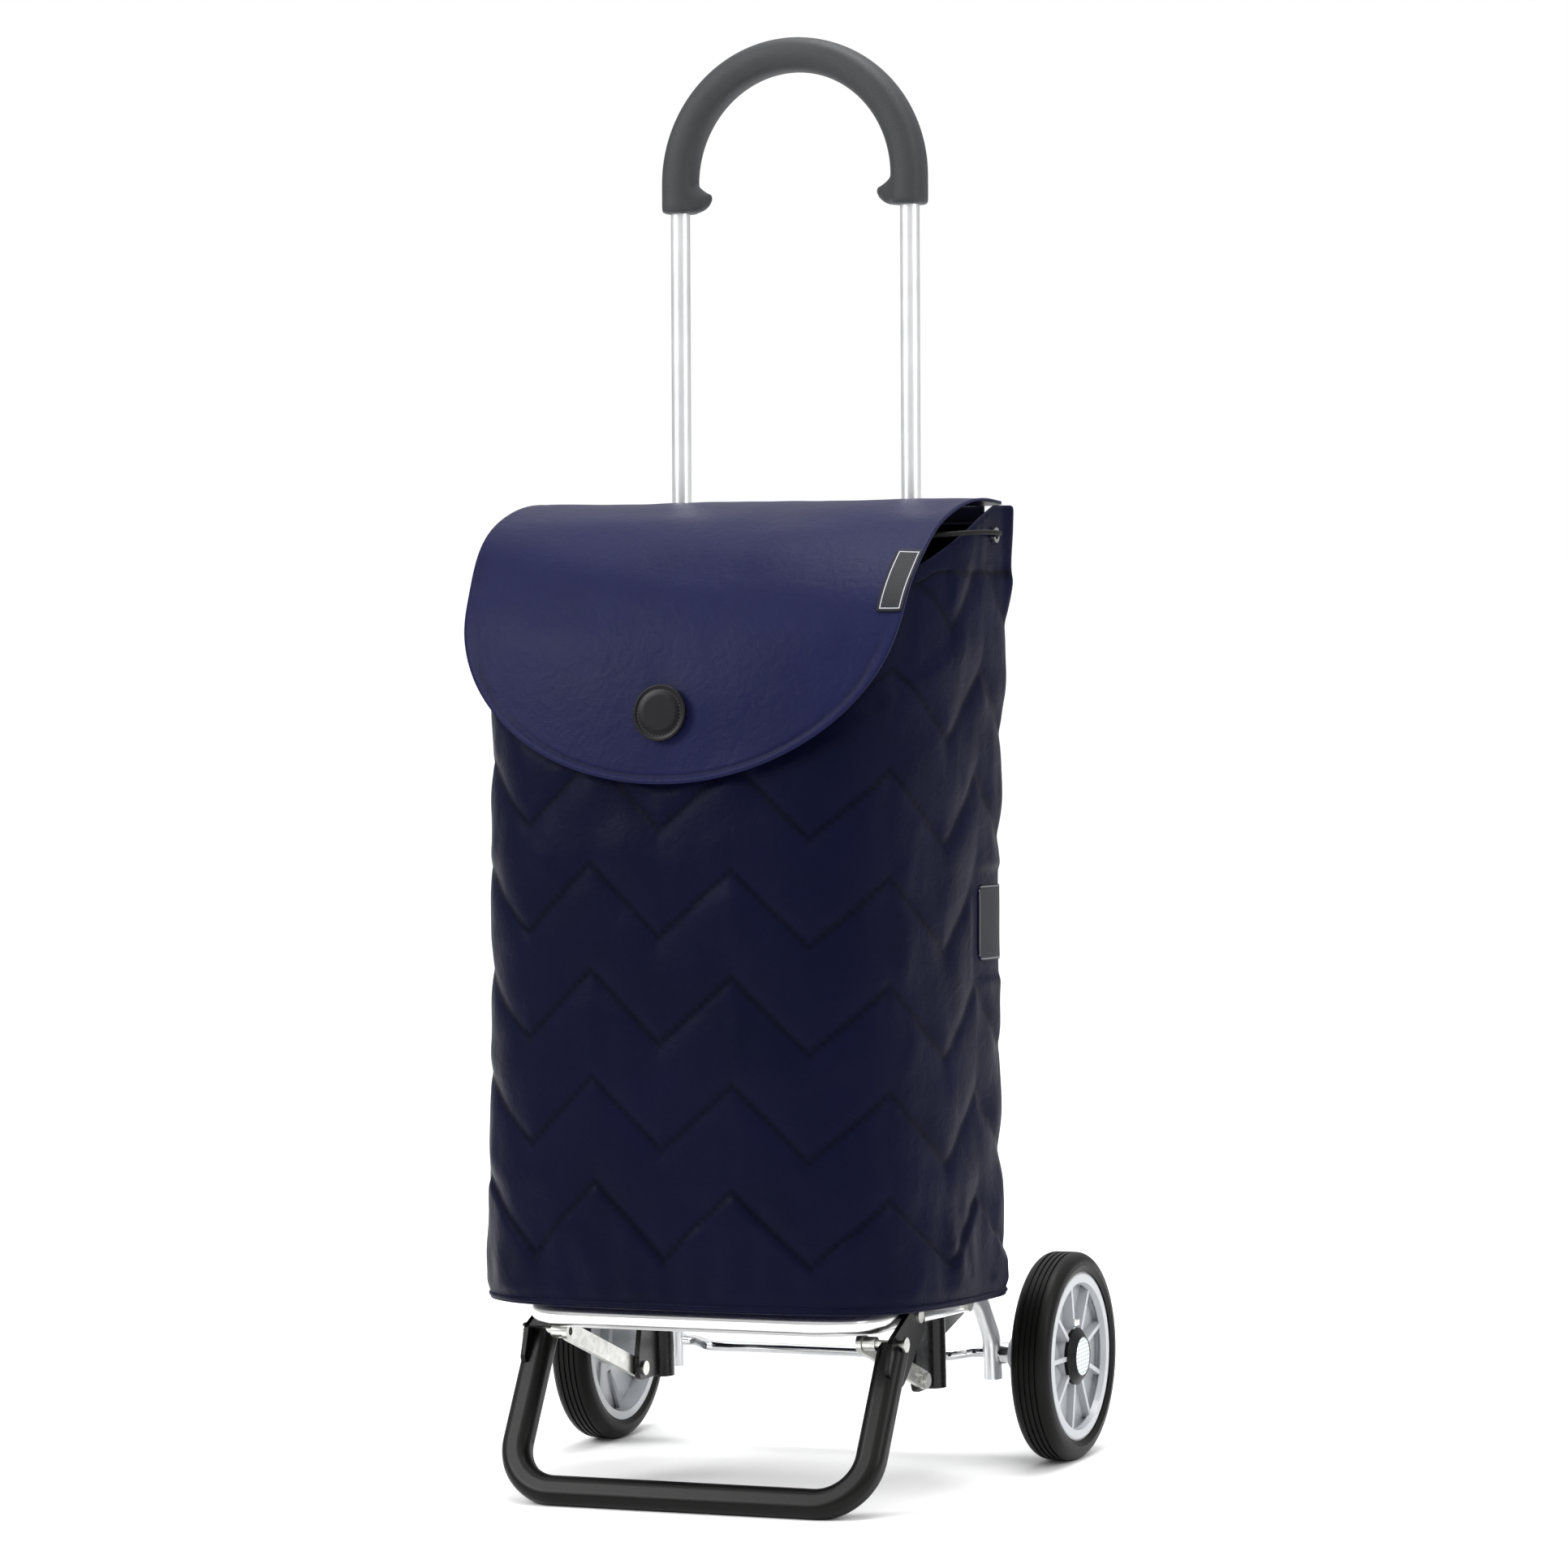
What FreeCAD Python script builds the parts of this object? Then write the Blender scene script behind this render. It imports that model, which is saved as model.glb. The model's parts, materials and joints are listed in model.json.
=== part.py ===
"""Two-wheeled shopping trolley with a quilted bag, built as separate named pieces.

Axes: +X to the trolley's right seen from the front, -Y to the front, +Z up, ground at Z 0.
The uprights, the platform and the bag lean back together by LEAN degrees. Their sizes are
given in the leaned frame and turned into place by lean(). All sizes are in millimetres.
"""
import FreeCAD
import Part
import math
import os

# ---------------------------------------------------------------- driving dimensions
LEAN = 2.75                 # backward lean of uprights, platform and bag, degrees
GRIP_TOP = 1031.0           # top of the handle grip along the leaned uprights
UPRIGHT_X = 90.25           # half the spacing of the uprights
TUBE_R = 7.0                # outer radius of the upright tubes
TUBE_WALL = 1.5
FIT = 0.05                  # radial clearance of a pin or tube in its hole
ARM_X = 125.6               # half the spacing of the wheel arms at the axle
WHEEL_R = 75.0
WHEEL_FACE_X = 196.0        # outer face of the tyre from the middle
TYRE_WIDTH = 30.0
RIM_R = 61.0
AXLE_Y = 65.0
AXLE_R = 4.0

HOOP_R = 9.0                # tube radius of the platform hoop
HOOP_Z = 122.5              # platform hoop centre line, leaned frame
HOOP_X = 127.0
HOOP_FRONT = -194.0
HOOP_CORNER = 41.0

PIVOT_A = (-10.1, 123.1)    # platform on the frame bracket: y, z
PIVOT_B = (-111.0, 128.0)   # foot on the platform
PIVOT_C = (-148.0, 113.0)   # link on the foot (the opened pivot)
PIVOT_D = (-36.0, 70.0)     # link on the frame bracket
PIN_R = 3.0
OPEN_PIVOT_GAP = 0.3        # side gap between the foot's pin and the link at C

FOOT_X = 134.5              # foot leg centre line
FOOT_W = 21.0
FOOT_DEPTH = 19.0
FOOT_BAR = (-206.0, 9.6)
FOOT_TOP = (-143.0, 110.0)
FOOT_CORNER = 36.0

LINK_X = 112.5
LINK_T = 4.0
LINK_W = 13.0
POST_X = 107.0
POST_Y = -2.0
POST_R = 8.75
POST_BOTTOM = 59.6
POST_TOP = 196.0
FLANGE_T = 4.0

BAG_BACK = -12.0
BAG_BOTTOM = 132.4
BAG_TOP = 681.0
BAG_WALL = 3.0
BAG_HALF = 174.0            # half width at the collar
FLAP_HALF = 166.0
FLAP_T = 2.5
FLAP_TIP = 494.0            # lowest point of the flap's rounded tongue
FLAP_SIDE_END = 617.0       # where the straight flap side turns into the tongue
FLAP_DROOP = 12.0           # how far the flap's side edges bend back
HINGE_Y = -13.5
HINGE_Z = 691.0
CORD_R = 1.75

V = FreeCAD.Vector
X_AXIS = V(1, 0, 0)
Z_AXIS = V(0, 0, 1)
ORIGIN = V(0, 0, 0)
sin_lean = math.sin(math.radians(LEAN))
cos_lean = math.cos(math.radians(LEAN))
nodes = {}
cord_nodes = ("drawcord", "cord_lock_body", "cord_lock_plunger")


# ---------------------------------------------------------------- helpers
def lean(shape):
    """Turn a shape from the leaned frame into the upright one."""
    turned = shape.copy()
    turned.rotate(ORIGIN, X_AXIS, -LEAN)
    return turned


def lean_point(x, y, z):
    return V(x, y * cos_lean + z * sin_lean, z * cos_lean - y * sin_lean)


def mirrored(shape):
    return shape.mirror(ORIGIN, X_AXIS)


def add_pair(name, right, leaned=False):
    """Store a right-hand piece and its left-hand mirror image."""
    placed = lean(right) if leaned else right
    nodes[name + "_right"] = placed
    nodes[name + "_left"] = mirrored(placed)


def cylinder(radius, start, end):
    run = end - start
    return Part.makeCylinder(radius, run.Length, start, run)


def pin_x(radius, x0, x1, y, z):
    return cylinder(radius, V(x0, y, z), V(x1, y, z))


def box(x0, x1, y0, y1, z0, z1):
    return Part.makeBox(x1 - x0, y1 - y0, z1 - z0, V(x0, y0, z0))


def rounded_wire(points, radii, closed=False):
    """Straight runs joined by tangent arcs. radii has one value per corner, 0 for sharp."""
    count = len(points)
    corners = range(count) if closed else range(1, count - 1)
    cut = {}
    for i in corners:
        radius = radii[i % len(radii)]
        corner = points[i]
        if radius == 0:
            cut[i] = (corner, None, corner)
            continue
        back = V(points[i - 1] - corner).normalize()
        ahead = V(points[(i + 1) % count] - corner).normalize()
        half = back.getAngle(ahead) / 2
        setback = radius / math.tan(half)
        middle = V(back + ahead).normalize() * (radius / math.sin(half) - radius)
        cut[i] = (corner + back * setback, corner + middle, corner + ahead * setback)
    if not closed:
        cut[0] = (points[0], None, points[0])
        cut[count - 1] = (points[-1], None, points[-1])
    edges = []
    for i in range(count):
        first, middle, last = cut[i]
        if middle is not None:
            edges.append(Part.Arc(first, middle, last).toShape())
        if i + 1 < count or closed:
            target = cut[(i + 1) % count][0]
            if (target - last).Length > 1e-6:
                edges.append(Part.makeLine(last, target))
    return Part.Wire(edges)


def sweep(path, profile):
    return path.makePipeShell([profile], True, False)


def tube(points, radii, radius, wall=0.0):
    """A round rod, or a tube where wall is given, along rounded straight runs."""
    path = rounded_wire(points, radii)
    run = points[1] - points[0]
    outer = sweep(path, Part.Wire(Part.makeCircle(radius, points[0], run)))
    if wall == 0.0:
        return outer
    inner = sweep(path, Part.Wire(Part.makeCircle(radius - wall, points[0], run)))
    return outer.cut(inner)


def rounded_box_wire(centre, u, v, width, depth, radius):
    a = u * (width / 2)
    b = v * (depth / 2)
    corners = [centre - a - b, centre + a - b, centre + a + b, centre - a + b]
    return rounded_wire(corners, [radius] * 4, closed=True)


def turned(profile, radii=(0,)):
    """Revolve (x, radius) points about the wheel axis."""
    points = [V(x, AXLE_Y, WHEEL_R + r) for x, r in profile]
    face = Part.Face(rounded_wire(points, list(radii), closed=True))
    return face.revolve(V(0, AXLE_Y, WHEEL_R), X_AXIS, 360)


def plate_x(outline, x0, x1, radii=(0,)):
    """A flat plate across X from (y, z) outline points."""
    wire = rounded_wire([V(x0, y, z) for y, z in outline], list(radii), closed=True)
    return Part.Face(wire).extrude(V(x1 - x0, 0, 0))


RIVET_HEAD_R = 5.2
RIVET_HEAD_T = 1.8


def rivet(x0, x1, y, z, head_at_both=True):
    """A shank with low round heads outside x0 and x1."""
    body = pin_x(PIN_R, x0, x1, y, z)
    body = body.fuse(pin_x(RIVET_HEAD_R, x1, x1 + RIVET_HEAD_T, y, z))
    if head_at_both:
        body = body.fuse(pin_x(RIVET_HEAD_R, x0 - RIVET_HEAD_T, x0, y, z))
    return body


# ---------------------------------------------------------------- frame tubes and axle
upright_points = [
    lean_point(UPRIGHT_X, 0, GRIP_TOP - 91),
    lean_point(UPRIGHT_X, 0, 158),
    V(122.5, 50, 114),
    V(ARM_X - 0.2, AXLE_Y, 86),
    V(ARM_X + 0.4, AXLE_Y, 56),
]
upright_radii = [0, 26, 24, 26, 0]
upright = tube(upright_points, upright_radii, TUBE_R, TUBE_WALL)
upright_solid = tube(upright_points, upright_radii, TUBE_R + FIT)
upright = upright.cut(pin_x(AXLE_R + FIT, 100, 150, AXLE_Y, WHEEL_R))
GUSSET_BOLT = (48.0, 112.5)
upright = upright.cut(pin_x(PIN_R + FIT, 100, ARM_X - 4, GUSSET_BOLT[0], GUSSET_BOLT[1]))
add_pair("upright", upright)

axle_points = [V(-191, AXLE_Y, WHEEL_R), V(-110, AXLE_Y, WHEEL_R), V(-96, 56, 73)]
axle_points += [V(-p.x, p.y, p.z) for p in reversed(axle_points)]
nodes["axle"] = tube(axle_points, [0, 16, 16, 16, 16, 0], AXLE_R)

for name, height in (("cross_brace_upper", 600.0), ("cross_brace_lower", 262.0)):
    brace = cylinder(6.0, V(-UPRIGHT_X, 0, height), V(UPRIGHT_X, 0, height))
    brace = brace.cut(cylinder(4.8, V(-UPRIGHT_X, 0, height), V(UPRIGHT_X, 0, height)))
    for side in (-1, 1):
        x = side * UPRIGHT_X
        brace = brace.cut(cylinder(TUBE_R, V(x, 0, height - 20), V(x, 0, height + 20)))
    nodes[name] = lean(brace)

# ---------------------------------------------------------------- handle grip
GRIP_RING_R = 90.0
GRIP_W = 26.0
GRIP_DEPTH = 29.0
grip_z = GRIP_TOP - GRIP_RING_R - GRIP_W / 2
section_wire = rounded_box_wire(V(GRIP_RING_R, 0, grip_z), X_AXIS, V(0, 1, 0), GRIP_W, GRIP_DEPTH, 11.5)
section = Part.Face(section_wire)
grip = section.revolve(V(0, 0, grip_z), V(0, -1, 0), 180)
leg = section.extrude(V(0, 0, -21))
low_edges = [e for e in leg.Edges
             if abs(e.BoundBox.ZMax - grip_z + 21) < 1e-3 and e.BoundBox.ZLength < 1e-3]
leg = leg.makeFillet(6.0, low_edges)
hook_r = 6.8
hook_points = [V(92, 0, grip_z - 13.4), V(78.5, 0, grip_z - 13.2), V(71.5, 0, grip_z - 10.0)]
hook = Part.makeSphere(hook_r, hook_points[1])
hook = hook.fuse(Part.makeSphere(hook_r, hook_points[2]))
hook = hook.fuse(cylinder(hook_r, hook_points[0], hook_points[1]))
hook = hook.fuse(cylinder(hook_r, hook_points[1], hook_points[2]))
leg = leg.fuse(hook)
grip = grip.fuse([leg, mirrored(leg)]).removeSplitter()
for side in (-1, 1):
    x = side * UPRIGHT_X
    grip = grip.cut(cylinder(TUBE_R + FIT, V(x, 0, grip_z - 40), V(x, 0, GRIP_TOP - 91 + FIT)))
nodes["handle_grip"] = lean(grip)

# ---------------------------------------------------------------- frame brackets
post = cylinder(POST_R, V(POST_X, POST_Y, POST_BOTTOM), V(POST_X, POST_Y, POST_TOP))
post = post.cut(cylinder(POST_R - 2.2, V(POST_X, POST_Y, POST_BOTTOM), V(POST_X, POST_Y, POST_BOTTOM + 44)))
flange_x0 = POST_X - FLANGE_T / 2 + 1.0
flange_x1 = flange_x0 + FLANGE_T
flange = plate_x([(POST_Y, POST_BOTTOM + 2), (-44, POST_BOTTOM + 2), (-44, 80), (-30, 130), (POST_Y, 130)],
                 flange_x0, flange_x1, [0, 6, 6, 8, 0])
rear_plate = plate_x([(POST_Y, 92), (16, 95), (57, 105), (57, 119), (16, 132), (POST_Y, 132)],
                     POST_X - 1.5, POST_X + 1.5, [0, 4, 6, 6, 6, 0])
collar_base = lean_point(UPRIGHT_X, 0, 176)
collar_top = lean_point(UPRIGHT_X, 0, 204)
collar = cylinder(TUBE_R + 3.6, collar_base, collar_top)
web = box(90, POST_X, POST_Y - 5, 8, 178, POST_TOP - 2)
bracket = post.fuse([flange, rear_plate, collar, web])
bracket = bracket.cut(upright_solid)
bracket = bracket.cut(cylinder(TUBE_R + FIT, lean_point(UPRIGHT_X, 0, 165), lean_point(UPRIGHT_X, 0, 215)))
bracket = bracket.cut(pin_x(PIN_R + 1 + FIT, 90, 120, PIVOT_A[0], PIVOT_A[1]))
bracket = bracket.cut(pin_x(PIN_R + FIT, 90, 120, PIVOT_D[0], PIVOT_D[1]))
bracket = bracket.cut(pin_x(PIN_R + FIT, 90, 120, GUSSET_BOLT[0], GUSSET_BOLT[1]))
add_pair("frame_bracket", bracket.removeSplitter())

gusset_bolt = pin_x(PIN_R, POST_X - 4.5, ARM_X - 4.5, GUSSET_BOLT[0], GUSSET_BOLT[1])
gusset_bolt = gusset_bolt.fuse(pin_x(5.5, POST_X - 4.7, POST_X - 1.5, GUSSET_BOLT[0], GUSSET_BOLT[1]))
gusset_spacer = pin_x(5.5, POST_X + 1.5, 116.4, GUSSET_BOLT[0], GUSSET_BOLT[1]).cut(upright_solid)
gusset_bolt = gusset_bolt.fuse(gusset_spacer)
add_pair("gusset_bolt", gusset_bolt.removeSplitter())

pivot_bolt = pin_x(PIN_R + 1, POST_X - 12, HOOP_X + HOOP_R + 1, PIVOT_A[0], PIVOT_A[1])
bolt_head_x = HOOP_X + HOOP_R + 0.4
pivot_bolt = pivot_bolt.fuse(pin_x(6.5, bolt_head_x, bolt_head_x + 3.0, PIVOT_A[0], PIVOT_A[1]))
pivot_bolt = pivot_bolt.fuse(pin_x(6.5, POST_X - 14.5, POST_X - 11, PIVOT_A[0], PIVOT_A[1]))
add_pair("platform_pivot_bolt", pivot_bolt)

link_in = LINK_X - LINK_T / 2
link_out = LINK_X + LINK_T / 2
add_pair("link_rivet", rivet(flange_x0, link_out + 0.2, PIVOT_D[0], PIVOT_D[1]))

# ---------------------------------------------------------------- platform
arm_start = -4.0
hoop_points = [
    lean_point(HOOP_X, arm_start, HOOP_Z),
    lean_point(HOOP_X, HOOP_FRONT, HOOP_Z),
    lean_point(-HOOP_X, HOOP_FRONT, HOOP_Z),
    lean_point(-HOOP_X, arm_start, HOOP_Z),
]
hoop = tube(hoop_points, [0, HOOP_CORNER, HOOP_CORNER, 0], HOOP_R, TUBE_WALL)
for y, z, radius in ((PIVOT_A[0], PIVOT_A[1], PIN_R + 1 + FIT), (PIVOT_B[0], PIVOT_B[1], PIN_R + FIT)):
    hoop = hoop.cut(pin_x(radius, -160, 160, y, z))
nodes["platform_hoop"] = hoop
cross_y = -60.0
cross_bar = cylinder(5.0, lean_point(-HOOP_X, cross_y, HOOP_Z), lean_point(HOOP_X, cross_y, HOOP_Z))
for side in (-1, 1):
    arm = cylinder(HOOP_R, lean_point(side * HOOP_X, 0, HOOP_Z), lean_point(side * HOOP_X, -120, HOOP_Z))
    cross_bar = cross_bar.cut(arm)
nodes["platform_cross_bar"] = cross_bar

# ---------------------------------------------------------------- foot hoop
foot_points = [
    V(FOOT_X, FOOT_TOP[0], FOOT_TOP[1]),
    V(FOOT_X, FOOT_BAR[0], FOOT_BAR[1]),
    V(-FOOT_X, FOOT_BAR[0], FOOT_BAR[1]),
    V(-FOOT_X, FOOT_TOP[0], FOOT_TOP[1]),
]
leg_dir = V(foot_points[1] - foot_points[0]).normalize()
leg_depth = V(0, -leg_dir.z, leg_dir.y)
foot_profile = rounded_box_wire(foot_points[0], X_AXIS, leg_depth, FOOT_W, FOOT_DEPTH, 7.5)
foot = sweep(rounded_wire(foot_points, [0, FOOT_CORNER, FOOT_CORNER, 0]), foot_profile)
foot_wall = 2.0
foot_core = rounded_box_wire(foot_points[0], X_AXIS, leg_depth, FOOT_W - 2 * foot_wall,
                             FOOT_DEPTH - 2 * foot_wall, 5.5)
foot_solid = foot
foot = foot.cut(sweep(rounded_wire(foot_points, [0, FOOT_CORNER, FOOT_CORNER, 0]), foot_core))
foot = foot.cut(box(-200, 200, -300, 0, -40, 0))
EAR_X0 = HOOP_X + HOOP_R + 1.5
EAR_T = 3.5
ear = plate_x([(-100, 118), (-101, 135), (-121, 135), (-160, 118), (-168, 96), (-156, 80), (-141, 84)],
              EAR_X0, EAR_X0 + EAR_T, [7, 8, 8, 6, 4, 6, 10])
ear = ear.cut(foot_solid)
ear = max(ear.Solids, key=lambda s: s.Volume)
c_hole = pin_x(PIN_R + FIT, 100, 160, PIVOT_C[0], PIVOT_C[1])
for side_hole in (c_hole, mirrored(c_hole)):
    foot = foot.cut(side_hole)
ear = ear.cut(c_hole)
ear = ear.cut(pin_x(PIN_R + FIT, 100, 160, PIVOT_B[0], PIVOT_B[1]))
ear = max(ear.Solids, key=lambda s: s.Volume)
nodes["foot_hoop"] = foot
add_pair("foot_ear", ear)
ear_out = EAR_X0 + EAR_T
b_rivet = pin_x(PIN_R, HOOP_X - HOOP_R - 1.6, ear_out, PIVOT_B[0], PIVOT_B[1])
b_rivet = b_rivet.fuse(pin_x(RIVET_HEAD_R, ear_out, ear_out + RIVET_HEAD_T, PIVOT_B[0], PIVOT_B[1]))
b_rivet = b_rivet.fuse(pin_x(4.2, HOOP_X - HOOP_R - 2.2, HOOP_X - HOOP_R - 0.4, PIVOT_B[0], PIVOT_B[1]))
add_pair("foot_pivot_rivet", b_rivet)
foot_face = FOOT_X + FOOT_W / 2
c_pin = pin_x(PIN_R, link_out + OPEN_PIVOT_GAP, foot_face, PIVOT_C[0], PIVOT_C[1])
c_pin = c_pin.fuse(pin_x(RIVET_HEAD_R, foot_face, foot_face + 1.6, PIVOT_C[0], PIVOT_C[1]))
c_pin = c_pin.fuse(pin_x(5.0, link_out + OPEN_PIVOT_GAP, FOOT_X - FOOT_W / 2, PIVOT_C[0], PIVOT_C[1]))
add_pair("foot_link_pin", c_pin)

# ---------------------------------------------------------------- links
link_run = V(0, PIVOT_C[0] - PIVOT_D[0], PIVOT_C[1] - PIVOT_D[1])
link_len = link_run.Length
along = V(link_run).normalize()
across = V(0, -along.z, along.y)
start = V(link_in, PIVOT_D[0], PIVOT_D[1])


def strip(x0, half_width, from_end, thickness):
    """A strip between the pivots, with round ends when from_end is 0 or less."""
    base = V(x0, start.y, start.z)
    a = base + along * (from_end - half_width) - across * half_width
    b = base + along * (link_len - from_end + half_width) - across * half_width
    c = b + across * (2 * half_width)
    d = a + across * (2 * half_width)
    wire = rounded_wire([a, b, c, d], [half_width * 0.98] * 4, closed=True)
    return Part.Face(wire).extrude(V(thickness, 0, 0))


link = strip(link_in, LINK_W / 2, 0, LINK_T)
link = link.cut(strip(link_in + 1.4, LINK_W / 2 - 2, 12, LINK_T))
for y, z in (PIVOT_D, PIVOT_C):
    link = link.cut(pin_x(PIN_R + FIT, 90, 140, y, z))
add_pair("fold_link", link)

# ---------------------------------------------------------------- wheels
tyre_in = WHEEL_FACE_X - TYRE_WIDTH
face_r = RIM_R + 4.0
tyre = turned([(tyre_in + 1.5, RIM_R), (tyre_in, face_r), (tyre_in + 1, WHEEL_R), (WHEEL_FACE_X - 1, WHEEL_R),
               (WHEEL_FACE_X, face_r), (WHEEL_FACE_X - 1.5, RIM_R)], [0, 2, 8, 8, 2, 0])
for offset in (9.0, 13.0, 17.0, 21.0):
    x = tyre_in + offset
    tyre = tyre.cut(turned([(x - 0.6, WHEEL_R - 1.1), (x + 0.6, WHEEL_R - 1.1),
                            (x + 0.9, WHEEL_R + 1), (x - 0.9, WHEEL_R + 1)]))
add_pair("tyre", tyre)

SPOKES = 9
HUB_R = 20.5
BORE_R = AXLE_R + FIT
rim_face = WHEEL_FACE_X - 3.0
rim = turned([(tyre_in + 2, RIM_R - 6), (tyre_in + 2, RIM_R), (rim_face, RIM_R), (rim_face + 1, RIM_R - 2),
              (rim_face + 1, RIM_R - 8), (rim_face - 3, RIM_R - 9.5), (rim_face - 6, RIM_R - 6)])
web_disc = turned([(rim_face - 14, HUB_R - 1), (rim_face - 11, HUB_R - 1), (rim_face - 8, RIM_R - 5),
                   (rim_face - 11, RIM_R - 5)])
hub = turned([(142, BORE_R), (142, 12), (158, 14), (172, 14), (172, HUB_R), (rim_face - 4, HUB_R),
              (rim_face - 4, BORE_R)])
rim = rim.fuse([web_disc, hub])
wheel_centre = V(0, AXLE_Y, WHEEL_R)
pieces = []
for k in range(SPOKES):
    rib_foot = V(rim_face - 11.5, AXLE_Y - 1.6, WHEEL_R + HUB_R - 1)
    rib = Part.makeBox(9.5, 3.2, RIM_R - 8 - HUB_R + 2, rib_foot)
    vane = Part.makeBox(2.4, 19.0, RIM_R - 8 - HUB_R + 1, V(rim_face - 9.4, AXLE_Y, WHEEL_R + HUB_R - 1))
    vane.rotate(V(rim_face - 9.4, AXLE_Y, WHEEL_R), Z_AXIS, 17)
    for piece in (rib, vane):
        piece.rotate(wheel_centre, X_AXIS, k * 360.0 / SPOKES + 8)
        pieces.append(piece)
for piece in pieces:
    rim = rim.fuse(piece)
rim = rim.cut(turned([(100, 0.01), (100, BORE_R), (220, BORE_R), (220, 0.01)]))
rim = rim.cut(pin_x(HUB_R + FIT, rim_face - 4, rim_face + 6, AXLE_Y, WHEEL_R))
CLIP_Z = WHEEL_R + HUB_R + 4.0
rim = rim.cut(box(rim_face - 9, rim_face + 5, AXLE_Y - 4.6, AXLE_Y + 4.6, CLIP_Z - 3.1, CLIP_Z + 3.1))
add_pair("rim", rim)

cap = turned([(rim_face - 4, 5.0), (rim_face - 4, HUB_R), (rim_face - 1.5, HUB_R),
              (WHEEL_FACE_X - 0.6, 15.4), (WHEEL_FACE_X, 14.6), (WHEEL_FACE_X, 13.9),
              (WHEEL_FACE_X - 1.2, 13.9), (WHEEL_FACE_X - 1.2, 5.0)])
add_pair("hub_cap", cap)
disc = turned([(WHEEL_FACE_X - 1.2, 0.01), (WHEEL_FACE_X - 1.2, 13.85), (WHEEL_FACE_X - 0.2, 13.6),
               (WHEEL_FACE_X - 0.2, 0.01)])
add_pair("reflector_disc", disc)
clip = box(rim_face - 8.9, rim_face - 0.5, AXLE_Y - 4.4, AXLE_Y + 4.4, CLIP_Z - 2.9, CLIP_Z + 2.9)
clip = clip.makeFillet(1.4, clip.Edges)
add_pair("wheel_release_clip", clip)
spacer_x = ARM_X + TUBE_R + 1.2
spacer = turned([(spacer_x, AXLE_R + FIT), (spacer_x, 8), (141.5, 8), (141.5, AXLE_R + FIT)])
add_pair("axle_spacer", spacer)

# ---------------------------------------------------------------- bag
BAG_LOW_BACK = -21.8        # the back steps forward past the frame brackets
bag_levels = [
    # height, half width, front depth, back
    (BAG_BOTTOM, 176.0, 223.0, BAG_LOW_BACK),
    (180.0, 173.0, 229.0, BAG_LOW_BACK),
    (212.0, 171.0, 231.0, BAG_LOW_BACK),
    (300.0, 167.5, 234.0, BAG_BACK - 1.0),
    (440.0, 167.0, 234.5, BAG_BACK),
    (540.0, 169.5, 225.0, BAG_BACK),
    (600.0, 172.0, 211.0, BAG_BACK),
    (BAG_TOP, BAG_HALF, 181.0, BAG_BACK),
]
outline_shape = [(0.0, 0.0), (0.45, 0.0), (0.80, 0.0), (0.955, 0.02), (1.0, 0.11), (1.0, 0.32),
                 (0.985, 0.53),
                 (0.92, 0.77), (0.82, 0.885), (0.66, 0.96), (0.36, 0.995), (0.0, 1.0)]


def outline_points(half, front, inset, back=BAG_BACK):
    """Plan outline of the bag, flat at the back and rounded at the front corners."""
    depth = front + back
    right = [(half * u, back - depth * v) for u, v in outline_shape]
    ring = right + [(-x, y) for x, y in reversed(right[1:-1])]
    count = len(ring)
    moved = []
    for i in range(count):
        tx = ring[(i + 1) % count][0] - ring[i - 1][0]
        ty = ring[(i + 1) % count][1] - ring[i - 1][1]
        size = math.hypot(tx, ty)
        moved.append((ring[i][0] + inset * ty / size, ring[i][1] - inset * tx / size))
    return moved


def outline_wire(half, front, z, inset=0.0, back=BAG_BACK):
    curve = Part.BSplineCurve()
    curve.interpolate([V(x, y, z) for x, y in outline_points(half, front, inset, back)], PeriodicFlag=True)
    return Part.Wire(curve.toShape())


def bag_loft(inset, lift=0.0, top=0.0):
    wires = []
    for i, (z, half, front, back) in enumerate(bag_levels):
        if i == 0:
            z += lift
        if i == len(bag_levels) - 1:
            z += top
        wires.append(outline_wire(half, front, z, inset, back))
    return Part.makeLoft(wires, True, False)


inset_sign = 1.0 if outline_points(174, 181, 5.0)[0][1] < BAG_BACK else -1.0
bag = bag_loft(0.0).cut(bag_loft(BAG_WALL * inset_sign, BAG_WALL, 5.0))
rim_slope = math.degrees(math.atan(0.47))
cutter = box(-300, 300, -400, 0, 0, 200)
cutter.rotate(ORIGIN, X_AXIS, rim_slope)
cutter.translate(V(0, -78, 675))
bag = bag.cut(cutter)
EYELET = (BAG_HALF - 0.3, -52.7, 666.9)
eyelet_hole = cylinder(3.3, V(EYELET[0] - 12, EYELET[1], EYELET[2]),
                       V(EYELET[0] + 12, EYELET[1], EYELET[2]))
bag = bag.cut(eyelet_hole).cut(mirrored(eyelet_hole))
nodes["bag_body"] = lean(bag)

base_z = BAG_BOTTOM + BAG_WALL + 0.2
base_wire = outline_wire(bag_levels[0][1] - 4, bag_levels[0][2] - 4, base_z, 9.0 * inset_sign,
                         bag_levels[0][3])
nodes["bag_base_board"] = lean(Part.Face(base_wire).extrude(V(0, 0, 3.0)))

eyelet = pin_x(5.4, EYELET[0] + 1.7, EYELET[0] + 2.9, EYELET[1], EYELET[2])
eyelet = eyelet.fuse(pin_x(3.25, EYELET[0] - 3.2, EYELET[0] + 2.0, EYELET[1], EYELET[2]))
eyelet = eyelet.cut(pin_x(2.95, EYELET[0] - 8, EYELET[0] + 8, EYELET[1], EYELET[2]))
add_pair("eyelet", eyelet, leaned=True)

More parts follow.
